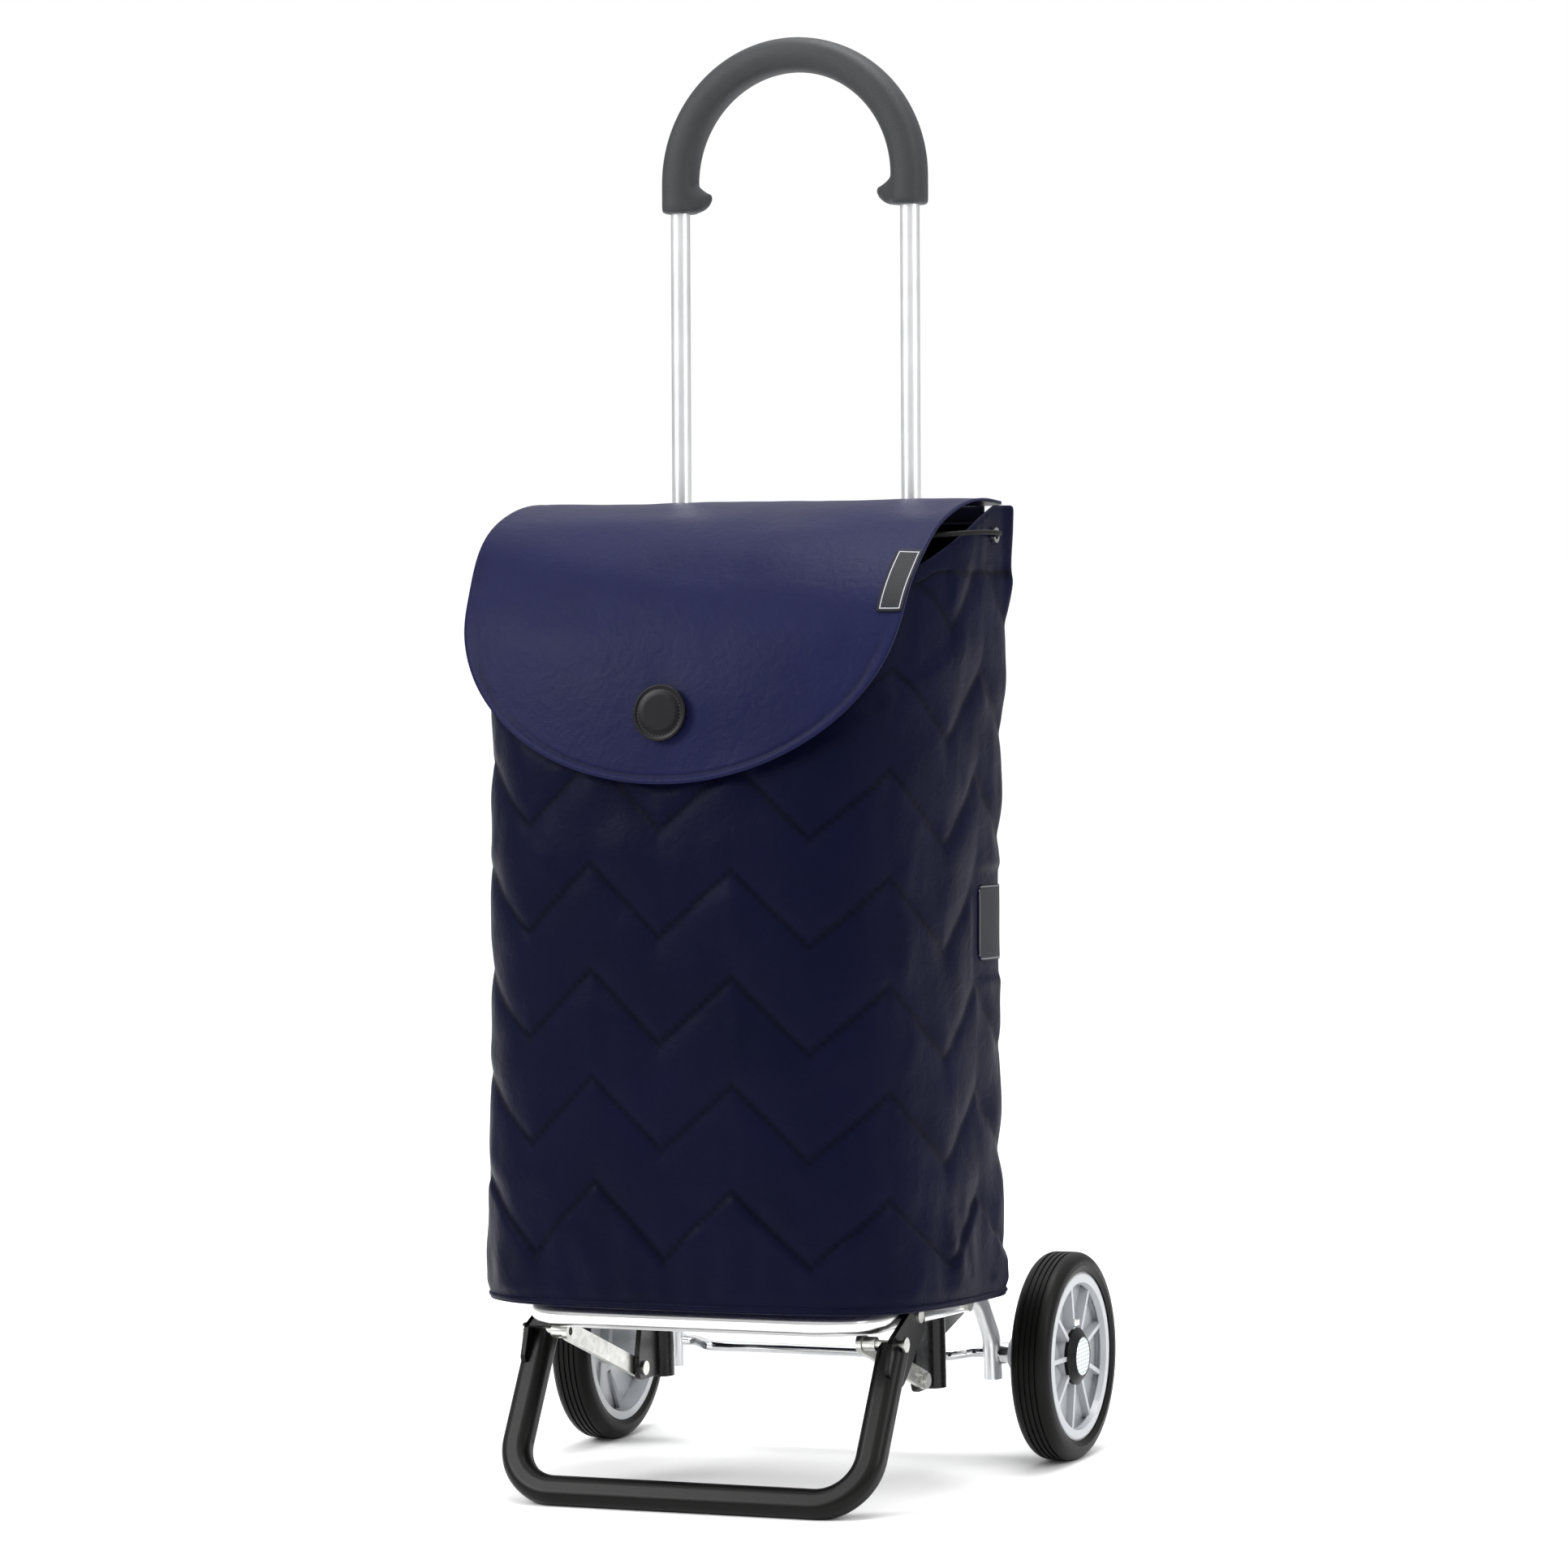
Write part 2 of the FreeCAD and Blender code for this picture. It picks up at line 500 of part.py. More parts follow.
hanger = cylinder(TUBE_R + 3, V(UPRIGHT_X, 0, 652), V(UPRIGHT_X, 0, 672))
hanger = hanger.fuse(box(UPRIGHT_X - 8, UPRIGHT_X + 8, BAG_BACK + 0.3, -4, 652, 672))
hanger = hanger.cut(cylinder(TUBE_R + FIT, V(UPRIGHT_X, 0, 640), V(UPRIGHT_X, 0, 690)))
add_pair("bag_hanger", hanger.removeSplitter(), leaned=True)

patch = box(BAG_HALF - 5.2, BAG_HALF - 4.0, -72, -24, 368, 421)
add_pair("side_patch", patch, leaned=True)

# ---------------------------------------------------------------- drawcord and its lock
LOCK_Y = -128.0
LOCK_Z = 663.0
cord_right = [
    V(150, -50, 666.0), V(188, -54, 667.4), V(184, -102, 668.0), V(160, -125, 665.0),
    V(108, LOCK_Y, 663.5), V(56, LOCK_Y, LOCK_Z - 0.5), V(18, LOCK_Y, LOCK_Z),
]
cord_points = cord_right + [V(-p.x, p.y, p.z) for p in reversed(cord_right)]
cord_radii = [0]
for i in range(1, len(cord_points) - 1):
    before = cord_points[i] - cord_points[i - 1]
    after = cord_points[i + 1] - cord_points[i]
    turn = before.getAngle(after)
    shorter = min(before.Length, after.Length)
    radius = 0.0 if turn < 0.002 else min(0.45 * shorter / math.tan(turn / 2), 4000.0)
    cord_radii.append(radius)
    print("cord corner", i, "turn", round(math.degrees(turn), 1), "radius", round(radius, 1))
cord_radii.append(0)
nodes["drawcord"] = lean(tube(cord_points, cord_radii, CORD_R))
print("cord length", round(rounded_wire(cord_points, cord_radii).Length, 1))

lock = box(-9, 9, LOCK_Y - 9, LOCK_Y + 9, LOCK_Z - 6, LOCK_Z + 5)
lock = lock.makeFillet(2.0, lock.Edges)
lock = lock.cut(cylinder(CORD_R + 0.25, V(-20, LOCK_Y, LOCK_Z), V(20, LOCK_Y, LOCK_Z)))
lock = lock.cut(box(-5.3, 5.3, LOCK_Y - 15, LOCK_Y - 4.4, LOCK_Z - 3.8, LOCK_Z + 3.8))
nodes["cord_lock_body"] = lean(lock)
nodes["cord_lock_plunger"] = lean(box(-5, 5, LOCK_Y - 15, LOCK_Y - 8.6, LOCK_Z - 3.5, LOCK_Z + 3.5))

# ---------------------------------------------------------------- flap
flap_profile = [(HINGE_Y, HINGE_Z + 1), (-56, 693.5), (-100, 689.5), (-141, 678),
                (-174, 660), (-201, 633), (-218, 602), (-227.5, 570),
                (-233, 540), (-237.5, 510), (-240, FLAP_TIP - 8)]


def profile_offset(points, distance):
    moved = []
    last = len(points) - 1
    for i in range(len(points)):
        a = points[max(i - 1, 0)]
        b = points[min(i + 1, last)]
        size = math.hypot(b[0] - a[0], b[1] - a[1])
        moved.append((points[i][0] - distance * (b[1] - a[1]) / size,
                      points[i][1] + distance * (b[0] - a[0]) / size))
    return moved


def sheet_section(points, low, high, x, droop):
    """Closed outline of a sheet between two offsets of a (y, z) profile at one X."""
    last = len(points) - 1
    pulled = [(y + droop * min(1.0, i / 5.0) ** 1.5, z) for i, (y, z) in enumerate(points)]
    edges = []
    ends = []
    for distance in (low, high):
        curve = Part.BSplineCurve()
        pts = [V(x, y, z) for y, z in profile_offset(pulled, distance)]
        curve.interpolate(pts)
        edges.append(curve.toShape())
        ends.append((pts[0], pts[last]))
    return Part.Wire([edges[0], Part.makeLine(ends[0][1], ends[1][1]), edges[1],
                      Part.makeLine(ends[1][0], ends[0][0])])


def flap_droop(x):
    """How far the flap bends back around the bag's front corners at one X."""
    return FLAP_DROOP * (abs(x) / FLAP_HALF) ** 2.6


def profile_sheet(low, high, x0, x1, count):
    """The flap's doubly curved sheet from x0 to x1, between two offsets. Positive goes inward."""
    wires = []
    for i in range(count):
        x = x0 + (x1 - x0) * i / (count - 1)
        wires.append(sheet_section(flap_profile, low, high, x, flap_droop(x)))
    return Part.makeLoft(wires, True, False)


half_points = []
for k in range(0, 13):
    angle = math.pi * k / 12
    half_points.append(V(-FLAP_HALF * math.cos(angle), -300,
                         FLAP_SIDE_END - (FLAP_SIDE_END - FLAP_TIP) * math.sin(angle)))
tongue_curve = Part.BSplineCurve()
tongue_curve.interpolate(half_points, InitialTangent=V(0, 0, -1), FinalTangent=V(0, 0, 1))
tongue_wire = Part.Wire([
    tongue_curve.toShape(),
    Part.makeLine(half_points[-1], V(FLAP_HALF, -300, 720)),
    Part.makeLine(V(FLAP_HALF, -300, 720), V(-FLAP_HALF, -300, 720)),
    Part.makeLine(V(-FLAP_HALF, -300, 720), half_points[0]),
])
tongue_prism = Part.Face(tongue_wire).extrude(V(0, 320, 0))
flap = profile_sheet(0.0, FLAP_T, -FLAP_HALF, FLAP_HALF, 13).common(tongue_prism)
nodes["flap"] = lean(flap)

BUTTON_Z = 543.0
button_y = -236.2
button = cylinder(19.7, V(0, button_y + 1.5, BUTTON_Z), V(0, button_y - 2.2, BUTTON_Z))
front_edges = [e for e in button.Edges
               if e.BoundBox.YMin < button_y - 2.1 and e.BoundBox.YLength < 0.1]
button = button.makeFillet(0.9, front_edges)
button = button.cut(flap)
button = min(button.Solids, key=lambda s: s.CenterOfMass.y)
nodes["flap_button"] = lean(button)
magnet = cylinder(7.0, V(0, -224.6, BUTTON_Z), V(0, -227.0, BUTTON_Z))
magnet = magnet.cut(bag_loft(0.0))
magnet = min(magnet.Solids, key=lambda s: s.CenterOfMass.y)
nodes["bag_magnet"] = lean(magnet)
label = profile_sheet(-1.0, -0.25, FLAP_HALF - 18.0, FLAP_HALF - 0.5, 5)
label = label.common(box(100, 200, -300, 0, 612, 655))
nodes["side_label"] = lean(label)
band = box(-FLAP_HALF + 16, FLAP_HALF - 16, BAG_BACK + 2.0, BAG_BACK + 3.8, 674, HINGE_Z - 2)
nodes["flap_hinge_band"] = lean(band)

# ---------------------------------------------------------------- place and write
y_low = 1e9
y_high = -1e9
for name, shape in nodes.items():
    if name in cord_nodes:
        continue
    extent = shape.optimalBoundingBox(True, False)
    y_low = min(y_low, extent.YMin)
    y_high = max(y_high, extent.YMax)
shift = V(0, -(y_low + y_high) / 2, 0)
print("shift y", round(shift.y, 4))

os.makedirs("parts", exist_ok=True)
for name, shape in sorted(nodes.items()):
    placed = shape.copy()
    placed.translate(shift)
    if len(placed.Solids) == 1:
        placed = placed.Solids[0]
    print(name, "solids", len(placed.Solids), "valid", placed.isValid(), "volume", round(placed.Volume))
    placed.exportStep("parts/" + name + ".step")
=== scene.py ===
# %% [markdown]
# # A shopping trolley with a quilted bag
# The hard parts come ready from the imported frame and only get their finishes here.
# The soft parts are modelled: a quilted bag, its button flap, a label, a patch and a drawcord.
# Every length is written in millimetres and turned to metres in one place.

# %% Load the frame
import json
import math
import bpy
import numpy as np
from mathutils import Matrix, Vector, noise
from mathutils.bvhtree import BVHTree

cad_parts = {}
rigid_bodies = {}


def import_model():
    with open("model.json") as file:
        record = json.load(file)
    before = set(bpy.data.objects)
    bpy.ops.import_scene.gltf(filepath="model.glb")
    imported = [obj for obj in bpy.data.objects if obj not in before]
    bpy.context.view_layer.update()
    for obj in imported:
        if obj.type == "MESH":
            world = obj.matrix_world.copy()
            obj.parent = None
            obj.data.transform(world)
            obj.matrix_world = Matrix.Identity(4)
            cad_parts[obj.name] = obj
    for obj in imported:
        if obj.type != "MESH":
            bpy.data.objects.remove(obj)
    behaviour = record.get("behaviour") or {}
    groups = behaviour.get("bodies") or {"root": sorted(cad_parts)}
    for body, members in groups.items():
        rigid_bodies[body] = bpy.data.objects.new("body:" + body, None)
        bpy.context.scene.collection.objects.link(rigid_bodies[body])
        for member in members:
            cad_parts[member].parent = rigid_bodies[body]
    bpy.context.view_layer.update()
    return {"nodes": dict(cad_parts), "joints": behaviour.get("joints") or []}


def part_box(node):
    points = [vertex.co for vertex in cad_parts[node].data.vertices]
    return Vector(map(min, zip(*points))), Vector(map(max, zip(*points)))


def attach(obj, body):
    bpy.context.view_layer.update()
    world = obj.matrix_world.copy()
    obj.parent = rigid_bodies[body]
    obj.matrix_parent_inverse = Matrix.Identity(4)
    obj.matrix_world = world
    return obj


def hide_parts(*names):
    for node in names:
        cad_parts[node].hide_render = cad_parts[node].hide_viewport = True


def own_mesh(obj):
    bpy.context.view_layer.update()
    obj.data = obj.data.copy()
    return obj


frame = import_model()
joints = {joint["name"]: joint for joint in frame["joints"]}

# %% [markdown]
# The uprights and the bag lean back a little. Working along the lean keeps every size simple,
# so one function takes a point measured along the uprights to its real place.

# %% Leaning frame
LEAN = math.radians(2.75)
AXLE_Y = 65.0
SHIFT_Y = joints["wheel_spin_right"]["pos_m"][1] * 1000 - AXLE_Y


def leaned(x, y, z):
    """A point in millimetres along the leaned uprights, as metres in the frame."""
    c, s = math.cos(LEAN), math.sin(LEAN)
    return Vector((x, y * c + z * s + SHIFT_Y, z * c - y * s)) / 1000


def leaned_array(points):
    c, s = math.cos(LEAN), math.sin(LEAN)
    x, y, z = points[:, 0], points[:, 1], points[:, 2]
    return np.stack([x, y * c + z * s + SHIFT_Y, z * c - y * s], 1) / 1000


print("shift along Y", round(SHIFT_Y, 3), "mm")

# %% [markdown]
# A camera is a place, a direction and a lens. This one stands low and to the right with a long
# lens, which keeps the uprights nearly parallel, and it is rolled by just over one degree.

# %% Camera
azimuth, pitch, roll = math.radians(23.47), math.radians(-3.17), math.radians(-1.38)
CAMERA_DISTANCE, CAMERA_HEIGHT, LENS = 4194.5, 724.4, 133.99
ahead = Vector((-math.sin(azimuth) * math.cos(pitch),
                math.cos(azimuth) * math.cos(pitch), math.sin(pitch)))
aside = Vector((math.cos(azimuth), math.sin(azimuth), 0))
upward = aside.cross(ahead)
right_axis = aside * math.cos(roll) + upward * math.sin(roll)
up_axis = upward * math.cos(roll) - aside * math.sin(roll)
camera_data = bpy.data.cameras.new("camera")
camera_data.lens = LENS
camera_data.sensor_width = 36.0
camera = bpy.data.objects.new("camera", camera_data)
bpy.context.scene.collection.objects.link(camera)
place = Matrix((right_axis, up_axis, -ahead)).transposed().to_4x4()
place.translation = Vector((CAMERA_DISTANCE * math.sin(azimuth),
                            -CAMERA_DISTANCE * math.cos(azimuth) + SHIFT_Y, CAMERA_HEIGHT)) / 1000
camera.matrix_world = place
bpy.context.scene.camera = camera
print("camera at", [round(v, 3) for v in place.translation])

# %% [markdown]
# A material is a small graph of nodes. One helper adds a node with its settings and its links,
# and one function turns the sRGB hex colours that people read into the linear values that
# light is worked out in.

# %% Material helpers
def linear(colour):
    """sRGB hex to linear RGBA."""
    parts = [int(colour[i:i + 2], 16) / 255 for i in (1, 3, 5)]
    return [p / 12.92 if p <= 0.04045 else ((p + 0.055) / 1.055) ** 2.4 for p in parts] + [1.0]


def add(tree, kind, settings=None, links=None):
    """One node with its settings and its incoming links."""
    node = tree.nodes.new(kind)
    for key, value in (settings or {}).items():
        if isinstance(key, str) and hasattr(node, key):
            setattr(node, key, value)
        else:
            node.inputs[key].default_value = value
    for key, socket in (links or {}).items():
        tree.links.new(socket, node.inputs[key])
    return node


def start_material(name, colour, roughness, metallic=0.0, **more):
    """A material whose constant values sit on the shader's own sockets."""
    material = bpy.data.materials.new(name)
    material.use_nodes = True
    tree = material.node_tree
    shader = tree.nodes["Principled BSDF"]
    shader.inputs["Base Color"].default_value = linear(colour)
    shader.inputs["Roughness"].default_value = roughness
    shader.inputs["Metallic"].default_value = metallic
    for key, value in more.items():
        shader.inputs[key.replace("_", " ")].default_value = value
    where = add(tree, "ShaderNodeTexCoord").outputs["Object"]
    return material, tree, shader, where


def per_metre(size_mm):
    """A texture scale whose cells are about size_mm across."""
    return 1000.0 / size_mm


def varied_colour(tree, shader, factor, dark, light):
    ramp = add(tree, "ShaderNodeMix", {"data_type": "RGBA", 6: linear(dark), 7: linear(light)}, {0: factor})
    tree.links.new(ramp.outputs[2], shader.inputs["Base Color"])


def varied_roughness(tree, shader, factor, low, high):
    span = add(tree, "ShaderNodeMapRange", {"To Min": low, "To Max": high}, {"Value": factor})
    tree.links.new(span.outputs[0], shader.inputs["Roughness"])


def raised(tree, shader, height, strength, depth_mm, after=None):
    links = {"Height": height}
    if after is not None:
        links["Normal"] = after
    bump = add(tree, "ShaderNodeBump", {"Strength": strength, "Distance": depth_mm / 1000}, links)
    tree.links.new(bump.outputs[0], shader.inputs["Normal"])
    return bump.outputs[0]


print("helpers ready")

# %% [markdown]
# The tubes are drawn aluminium. Drawing leaves fine lines along the tube, so the noise is
# squeezed across the tube and stretched along it. The platform hoop is the same metal,
# polished, so it has a lower roughness and fewer marks.

# %% Metals
def drawn_aluminium(name, colour, roughness, stretch, mark):
    material, tree, shader, where = start_material(name, colour, roughness, 1.0)
    squeezed = add(tree, "ShaderNodeMapping", {"Scale": stretch}, {"Vector": where})
    lines = add(tree, "ShaderNodeTexNoise", {"Scale": per_metre(1.4), "Detail": 4.0},
                {"Vector": squeezed.outputs[0]})
    cloud = add(tree, "ShaderNodeTexNoise", {"Scale": per_metre(30), "Detail": 3.0}, {"Vector": where})
    varied_roughness(tree, shader, cloud.outputs[0], roughness * 0.75, roughness * 1.3)
    raised(tree, shader, lines.outputs[0], mark, 0.05)
    return material


satin_tube = drawn_aluminium("aluminium_drawn_satin", "#ecedee", 0.32, (1, 1, 0.03), 0.12)
polished_tube = drawn_aluminium("aluminium_polished", "#f0f0f0", 0.2, (0.05, 1, 1), 0.08)


def plated(name, colour, roughness, mottle_mm, dark):
    """Plated steel: a bright base with a faint crystal mottle from the plating bath."""
    material, tree, shader, where = start_material(name, colour, roughness, 1.0)
    mottle = add(tree, "ShaderNodeTexVoronoi", {"Scale": per_metre(mottle_mm)}, {"Vector": where})
    fine = add(tree, "ShaderNodeTexNoise", {"Scale": per_metre(3), "Detail": 5.0}, {"Vector": where})
    varied_colour(tree, shader, mottle.outputs["Color"], dark, colour)
    varied_roughness(tree, shader, fine.outputs[0], roughness * 0.7, roughness * 1.4)
    raised(tree, shader, fine.outputs[0], 0.15, 0.04)
    return material


zinc = plated("steel_zinc_plated", "#dcdcd8", 0.30, 5, "#bfbfba")
chrome = plated("steel_chrome_plated", "#d9dadb", 0.08, 9, "#cfd0d2")
print("metals", satin_tube.name, polished_tube.name, zinc.name, chrome.name)

# %% [markdown]
# The foot hoop has a powder coat with a fine sandy grain, the brackets a smoother one. Grain
# is about 0.4 mm in real life and is drawn at 0.9 mm here so that it shows at this distance.

# %% Black coats, rubber and plastics
def grained(name, colour, light, roughness, grain_mm, depth_mm, strength, **more):
    material, tree, shader, where = start_material(name, colour, roughness, 0.0, **more)
    grain = add(tree, "ShaderNodeTexNoise", {"Scale": per_metre(grain_mm), "Detail": 2.0}, {"Vector": where})
    cloud = add(tree, "ShaderNodeTexNoise", {"Scale": per_metre(18), "Detail": 4.0}, {"Vector": where})
    varied_colour(tree, shader, cloud.outputs[0], colour, light)
    varied_roughness(tree, shader, grain.outputs[0], roughness * 0.85, roughness * 1.2)
    raised(tree, shader, grain.outputs[0], strength, depth_mm)
    return material


powder_coat = grained("powder_coat_black_grained", "#040403", "#080807", 0.34, 0.9, 0.12, 0.55,
                      Specular_IOR_Level=0.17)
bracket_coat = grained("powder_coat_black_smooth", "#060607", "#0a0a0b", 0.28, 1.4, 0.05, 0.3,
                       Specular_IOR_Level=0.3)
tyre_rubber = grained("rubber_tyre_moulded", "#040403", "#070706", 0.42, 1.6, 0.10, 0.4,
                      Specular_IOR_Level=0.14)
foam_grip = grained("foam_grip_charcoal", "#1d1e20", "#27282b", 0.58, 1.3, 0.22, 0.8,
                    Specular_IOR_Level=0.4)
gloss_black = grained("abs_black_moulded", "#050508", "#09090d", 0.34, 2.5, 0.03, 0.2,
                      Specular_IOR_Level=0.16)
silver_abs = grained("abs_silver_painted", "#9fa2a6", "#abaeb2", 0.30, 2.0, 0.03, 0.2, Coat_Weight=0.25)
board_fibre = grained("fibreboard_grey", "#2b2c2e", "#37383a", 0.75, 2.2, 0.2, 0.6)


def prism_reflector():
    """Acrylic moulded with rows of small prisms, 2 mm across, that throw light back."""
    material, tree, shader, where = start_material(
        "acrylic_prism_reflector", "#c3cfd0", 0.18, 0.25, Coat_Weight=0.6)
    turned = add(tree, "ShaderNodeMapping", {"Rotation": (math.radians(45), 0, 0)}, {"Vector": where})
    # The checker paints light and dark cells into the colour: painted highlight and painted shade on the
    # prism facets, not a tone of the acrylic itself.
    cells = add(tree, "ShaderNodeTexChecker", {"Scale": per_metre(2.0)}, {"Vector": turned.outputs[0]})
    varied_colour(tree, shader, cells.outputs["Fac"], "#9fb0b3", "#e4ecec")
    facets = add(tree, "ShaderNodeTexVoronoi",
                 {"Scale": per_metre(2.0), "distance": "MANHATTAN", "Randomness": 0.0},
                 {"Vector": turned.outputs[0]})
    raised(tree, shader, facets.outputs["Distance"], 0.8, 0.5)
    return material


reflector = prism_reflector()
print("plastics and coats ready")

# %% [markdown]
# The bag is polyester sateen: thin, tightly woven, with long floating threads that give a
# soft sheen. The threads are about 0.25 mm apart, drawn at 0.8 mm so that the weave shows.
# The weave follows the cloth, so it reads a UV map measured in metres along the fabric.

# %% Fabrics
def woven(name, dark, light, roughness, thread_mm, sheen, gloss, crease=None):
    material, tree, shader, where = start_material(
        name, light, roughness, 0.0, Sheen_Weight=sheen, Sheen_Roughness=0.45)
    shader.inputs["Sheen Tint"].default_value = linear("#5b62a0")
    shader.inputs["Specular IOR Level"].default_value = gloss
    flat = add(tree, "ShaderNodeUVMap", {"uv_map": "cloth"}).outputs[0]
    warp = add(tree, "ShaderNodeTexWave", {"Scale": per_metre(thread_mm) / 3.1, "bands_direction": "X",
                                          "Distortion": 0.6, "Detail": 1.0}, {"Vector": flat})
    weft = add(tree, "ShaderNodeTexWave", {"Scale": per_metre(thread_mm) / 3.1, "bands_direction": "Y",
                                          "Distortion": 0.6, "Detail": 1.0}, {"Vector": flat})
    both = add(tree, "ShaderNodeMath", {"operation": "MULTIPLY"},
               {0: warp.outputs["Fac"], 1: weft.outputs["Fac"]})
    cloud = add(tree, "ShaderNodeTexNoise", {"Scale": per_metre(70), "Detail": 5.0}, {"Vector": where})
    varied_roughness(tree, shader, cloud.outputs[0], roughness * 0.85, roughness * 1.15)
    mix = add(tree, "ShaderNodeMix", {"data_type": "RGBA", 6: linear(dark), 7: linear(light)},
              {0: cloud.outputs[0]})
    colour = mix.outputs[2]
    if crease is not None:
        line = add(tree, "ShaderNodeAttribute", {"attribute_name": "seam"}).outputs["Fac"]
        sewn = add(tree, "ShaderNodeMix", {"data_type": "RGBA", 7: linear(crease)}, {0: line, 6: colour})
        colour = sewn.outputs[2]
    tree.links.new(colour, shader.inputs["Base Color"])
    small = add(tree, "ShaderNodeTexNoise",
                {"Scale": per_metre(9), "Detail": 4.0, "Distortion": 0.8}, {"Vector": where})
    creased = raised(tree, shader, small.outputs[0], 0.35, 1.4)
    raised(tree, shader, both.outputs[0], 0.35, 0.10, creased)
    return material


bag_sateen = woven("polyester_sateen_quilted", "#060818", "#0a0c24", 0.4, 0.8, 0.0, 0.035, "#020308")
flap_sateen = woven("polyester_sateen_plain", "#12132e", "#16183a", 0.4, 0.8, 0.01, 0.06, "#0a0b20")
cord_braid = grained("polyester_braid_black", "#050506", "#0c0c0f", 0.7, 1.2, 0.35, 0.9,
                     Specular_IOR_Level=0.2)
hinge_cloth = grained("polyester_band_navy", "#0a0b1c", "#0e1026", 0.6, 1.0, 0.15, 0.5,
                      Specular_IOR_Level=0.15)
print("fabrics ready")

# %% [markdown]
# Each hard node of the frame now gets its finish. Names that share a start share a finish.

# %% Finishes on the frame's nodes
finishes = [
    (("upright", "cross_brace"), satin_tube), (("platform_hoop", "platform_cross"), polished_tube),
    (("fold_link", "link_rivet", "foot_pivot", "foot_link_pin"), zinc),
    (("gusset_bolt", "platform_pivot", "bag_magnet"), zinc),
    (("axle", "wheel_release", "eyelet"), chrome), (("foot_hoop", "foot_ear"), powder_coat),
    (("frame_bracket",), bracket_coat), (("tyre",), tyre_rubber), (("rim",), silver_abs),
    (("reflector",), reflector),
    (("hub_cap", "axle_spacer", "bag_hanger", "cord_lock", "flap_button"), gloss_black),
    (("handle_grip",), foam_grip), (("bag_base",), board_fibre), (("flap_hinge_band",), hinge_cloth),
    (("drawcord",), cord_braid), (("side_patch", "side_label"), gloss_black),
    (("bag_body",), bag_sateen), (("flap",), flap_sateen),
]
for node_name, node_object in frame["nodes"].items():
    for starts, material in finishes:
        if node_name.startswith(starts):
            node_object.data.materials.clear()
            node_object.data.materials.append(material)
            break
    else:
        print("no finish for", node_name)
bpy.context.view_layer.objects.active = None
for each in bpy.data.objects:
    each.select_set(False)
print("finishes set on", len(frame["nodes"]), "nodes")

# %% [markdown]
# The bag's plan is flat at the back and rounded at the front corners. A smooth curve through
# a dozen points gives half of it, at any height, and the other half is its mirror image.

# %% Bag outline
BAG_LEVELS = np.array([(132.4, 176, 223, 21.8), (180, 173, 229, 21.8), (212, 171, 231, 21.8),
                       (300, 167.5, 234, 13), (440, 167, 234.5, 12), (540, 169.5, 225, 12),
                       (600, 172, 211, 12), (681, 174, 181, 12)], float)
OUTLINE = np.array([(0, 0), (.45, 0), (.80, 0), (.955, .02), (1, .11), (1, .32), (.985, .53), (.92, .77),
                    (.82, .885), (.66, .96), (.36, .995), (0, 1)], float)
BACK_CELLS, FRONT_CELLS = 26, 72


def half_outline(z):
    """X and Y of half the outline at one height, and its arc length."""
    half = np.interp(z, BAG_LEVELS[:, 0], BAG_LEVELS[:, 1])
    front = np.interp(z, BAG_LEVELS[:, 0], BAG_LEVELS[:, 2])
    back = np.interp(z, BAG_LEVELS[:, 0], BAG_LEVELS[:, 3])
    knots = np.vstack([OUTLINE[1] * [-1, 1], OUTLINE, OUTLINE[-2] * [-1, 1]])
    t = np.linspace(1, len(OUTLINE), 900)
    i = np.clip(np.floor(t).astype(int), 1, len(OUTLINE) - 1)
    f = (t - i)[:, None]
    a, b, c, d = knots[i - 1], knots[i], knots[i + 1], knots[i + 2]
    bend, twist = 2 * a - 5 * b + 4 * c - d, 3 * b - a - 3 * c + d
    curve = 0.5 * (2 * b + (c - a) * f + bend * f ** 2 + twist * f ** 3)
    x = curve[:, 0] * half
    y = -back - curve[:, 1] * (front - back)
    s = np.concatenate([[0], np.cumsum(np.hypot(np.diff(x), np.diff(y)))])
    return x, y, s, np.interp(4.55, t, s)


WARP_RIGHT = ([0, 12, 25, 37, 49, 60, 72], [0.3, 0.0, 0.0, 0.8, 3.0, 1.8, 0.0])
WARP_LEFT = ([0, 12, 25, 37, 49, 60, 72], [-0.3, -1.0, -2.0, -1.6, -1.0, -0.4, 0.0])


def outline_ring(z, inset=0.0):
    """A closed ring of points, from the back's middle round by the right side. The quilt was
    cut by hand, so its columns are a little wider at the right corner than at the left one."""
    x, y, s, corner = half_outline(z)
    halves = []
    for warp in (WARP_RIGHT, WARP_LEFT):
        cells = np.arange(FRONT_CELLS, -1, -1.0)
        cells = cells + np.interp(cells, *warp) * (cells > 0)
        front_steps = s[-1] - cells / FRONT_CELLS * (s[-1] - corner)
        steps = np.concatenate([np.linspace(0, corner, BACK_CELLS + 1)[:-1], front_steps])
        halves.append(np.stack([np.interp(steps, s, x), np.interp(steps, s, y)], 1))
    ring = np.concatenate([halves[0], halves[1][-2::-1] * [-1, 1]])
    if inset:
        along = np.roll(ring[:-1], -1, 0) - np.roll(ring[:-1], 1, 0)
        along /= np.linalg.norm(along, axis=1)[:, None]
        moved = ring[:-1] + inset * np.stack([along[:, 1], -along[:, 0]], 1)
        if abs(moved[0, 1]) < abs(ring[0, 1]):
            moved = ring[:-1] - inset * np.stack([along[:, 1], -along[:, 0]], 1)
        ring = np.vstack([moved, moved[:1]])
    return ring


print("ring of", len(outline_ring(300)), "points,", round(half_outline(300)[2][-1] * 2), "mm round")

# %% [markdown]
# Rows of points run from the middle of the base, out to the bottom seam, up the quilted wall,
# up the gathered collar and over the mouth's rim to the inside. The zigzag stitch lines go
# through the grid's own corners, so a line stays sharp after the padding has swollen.

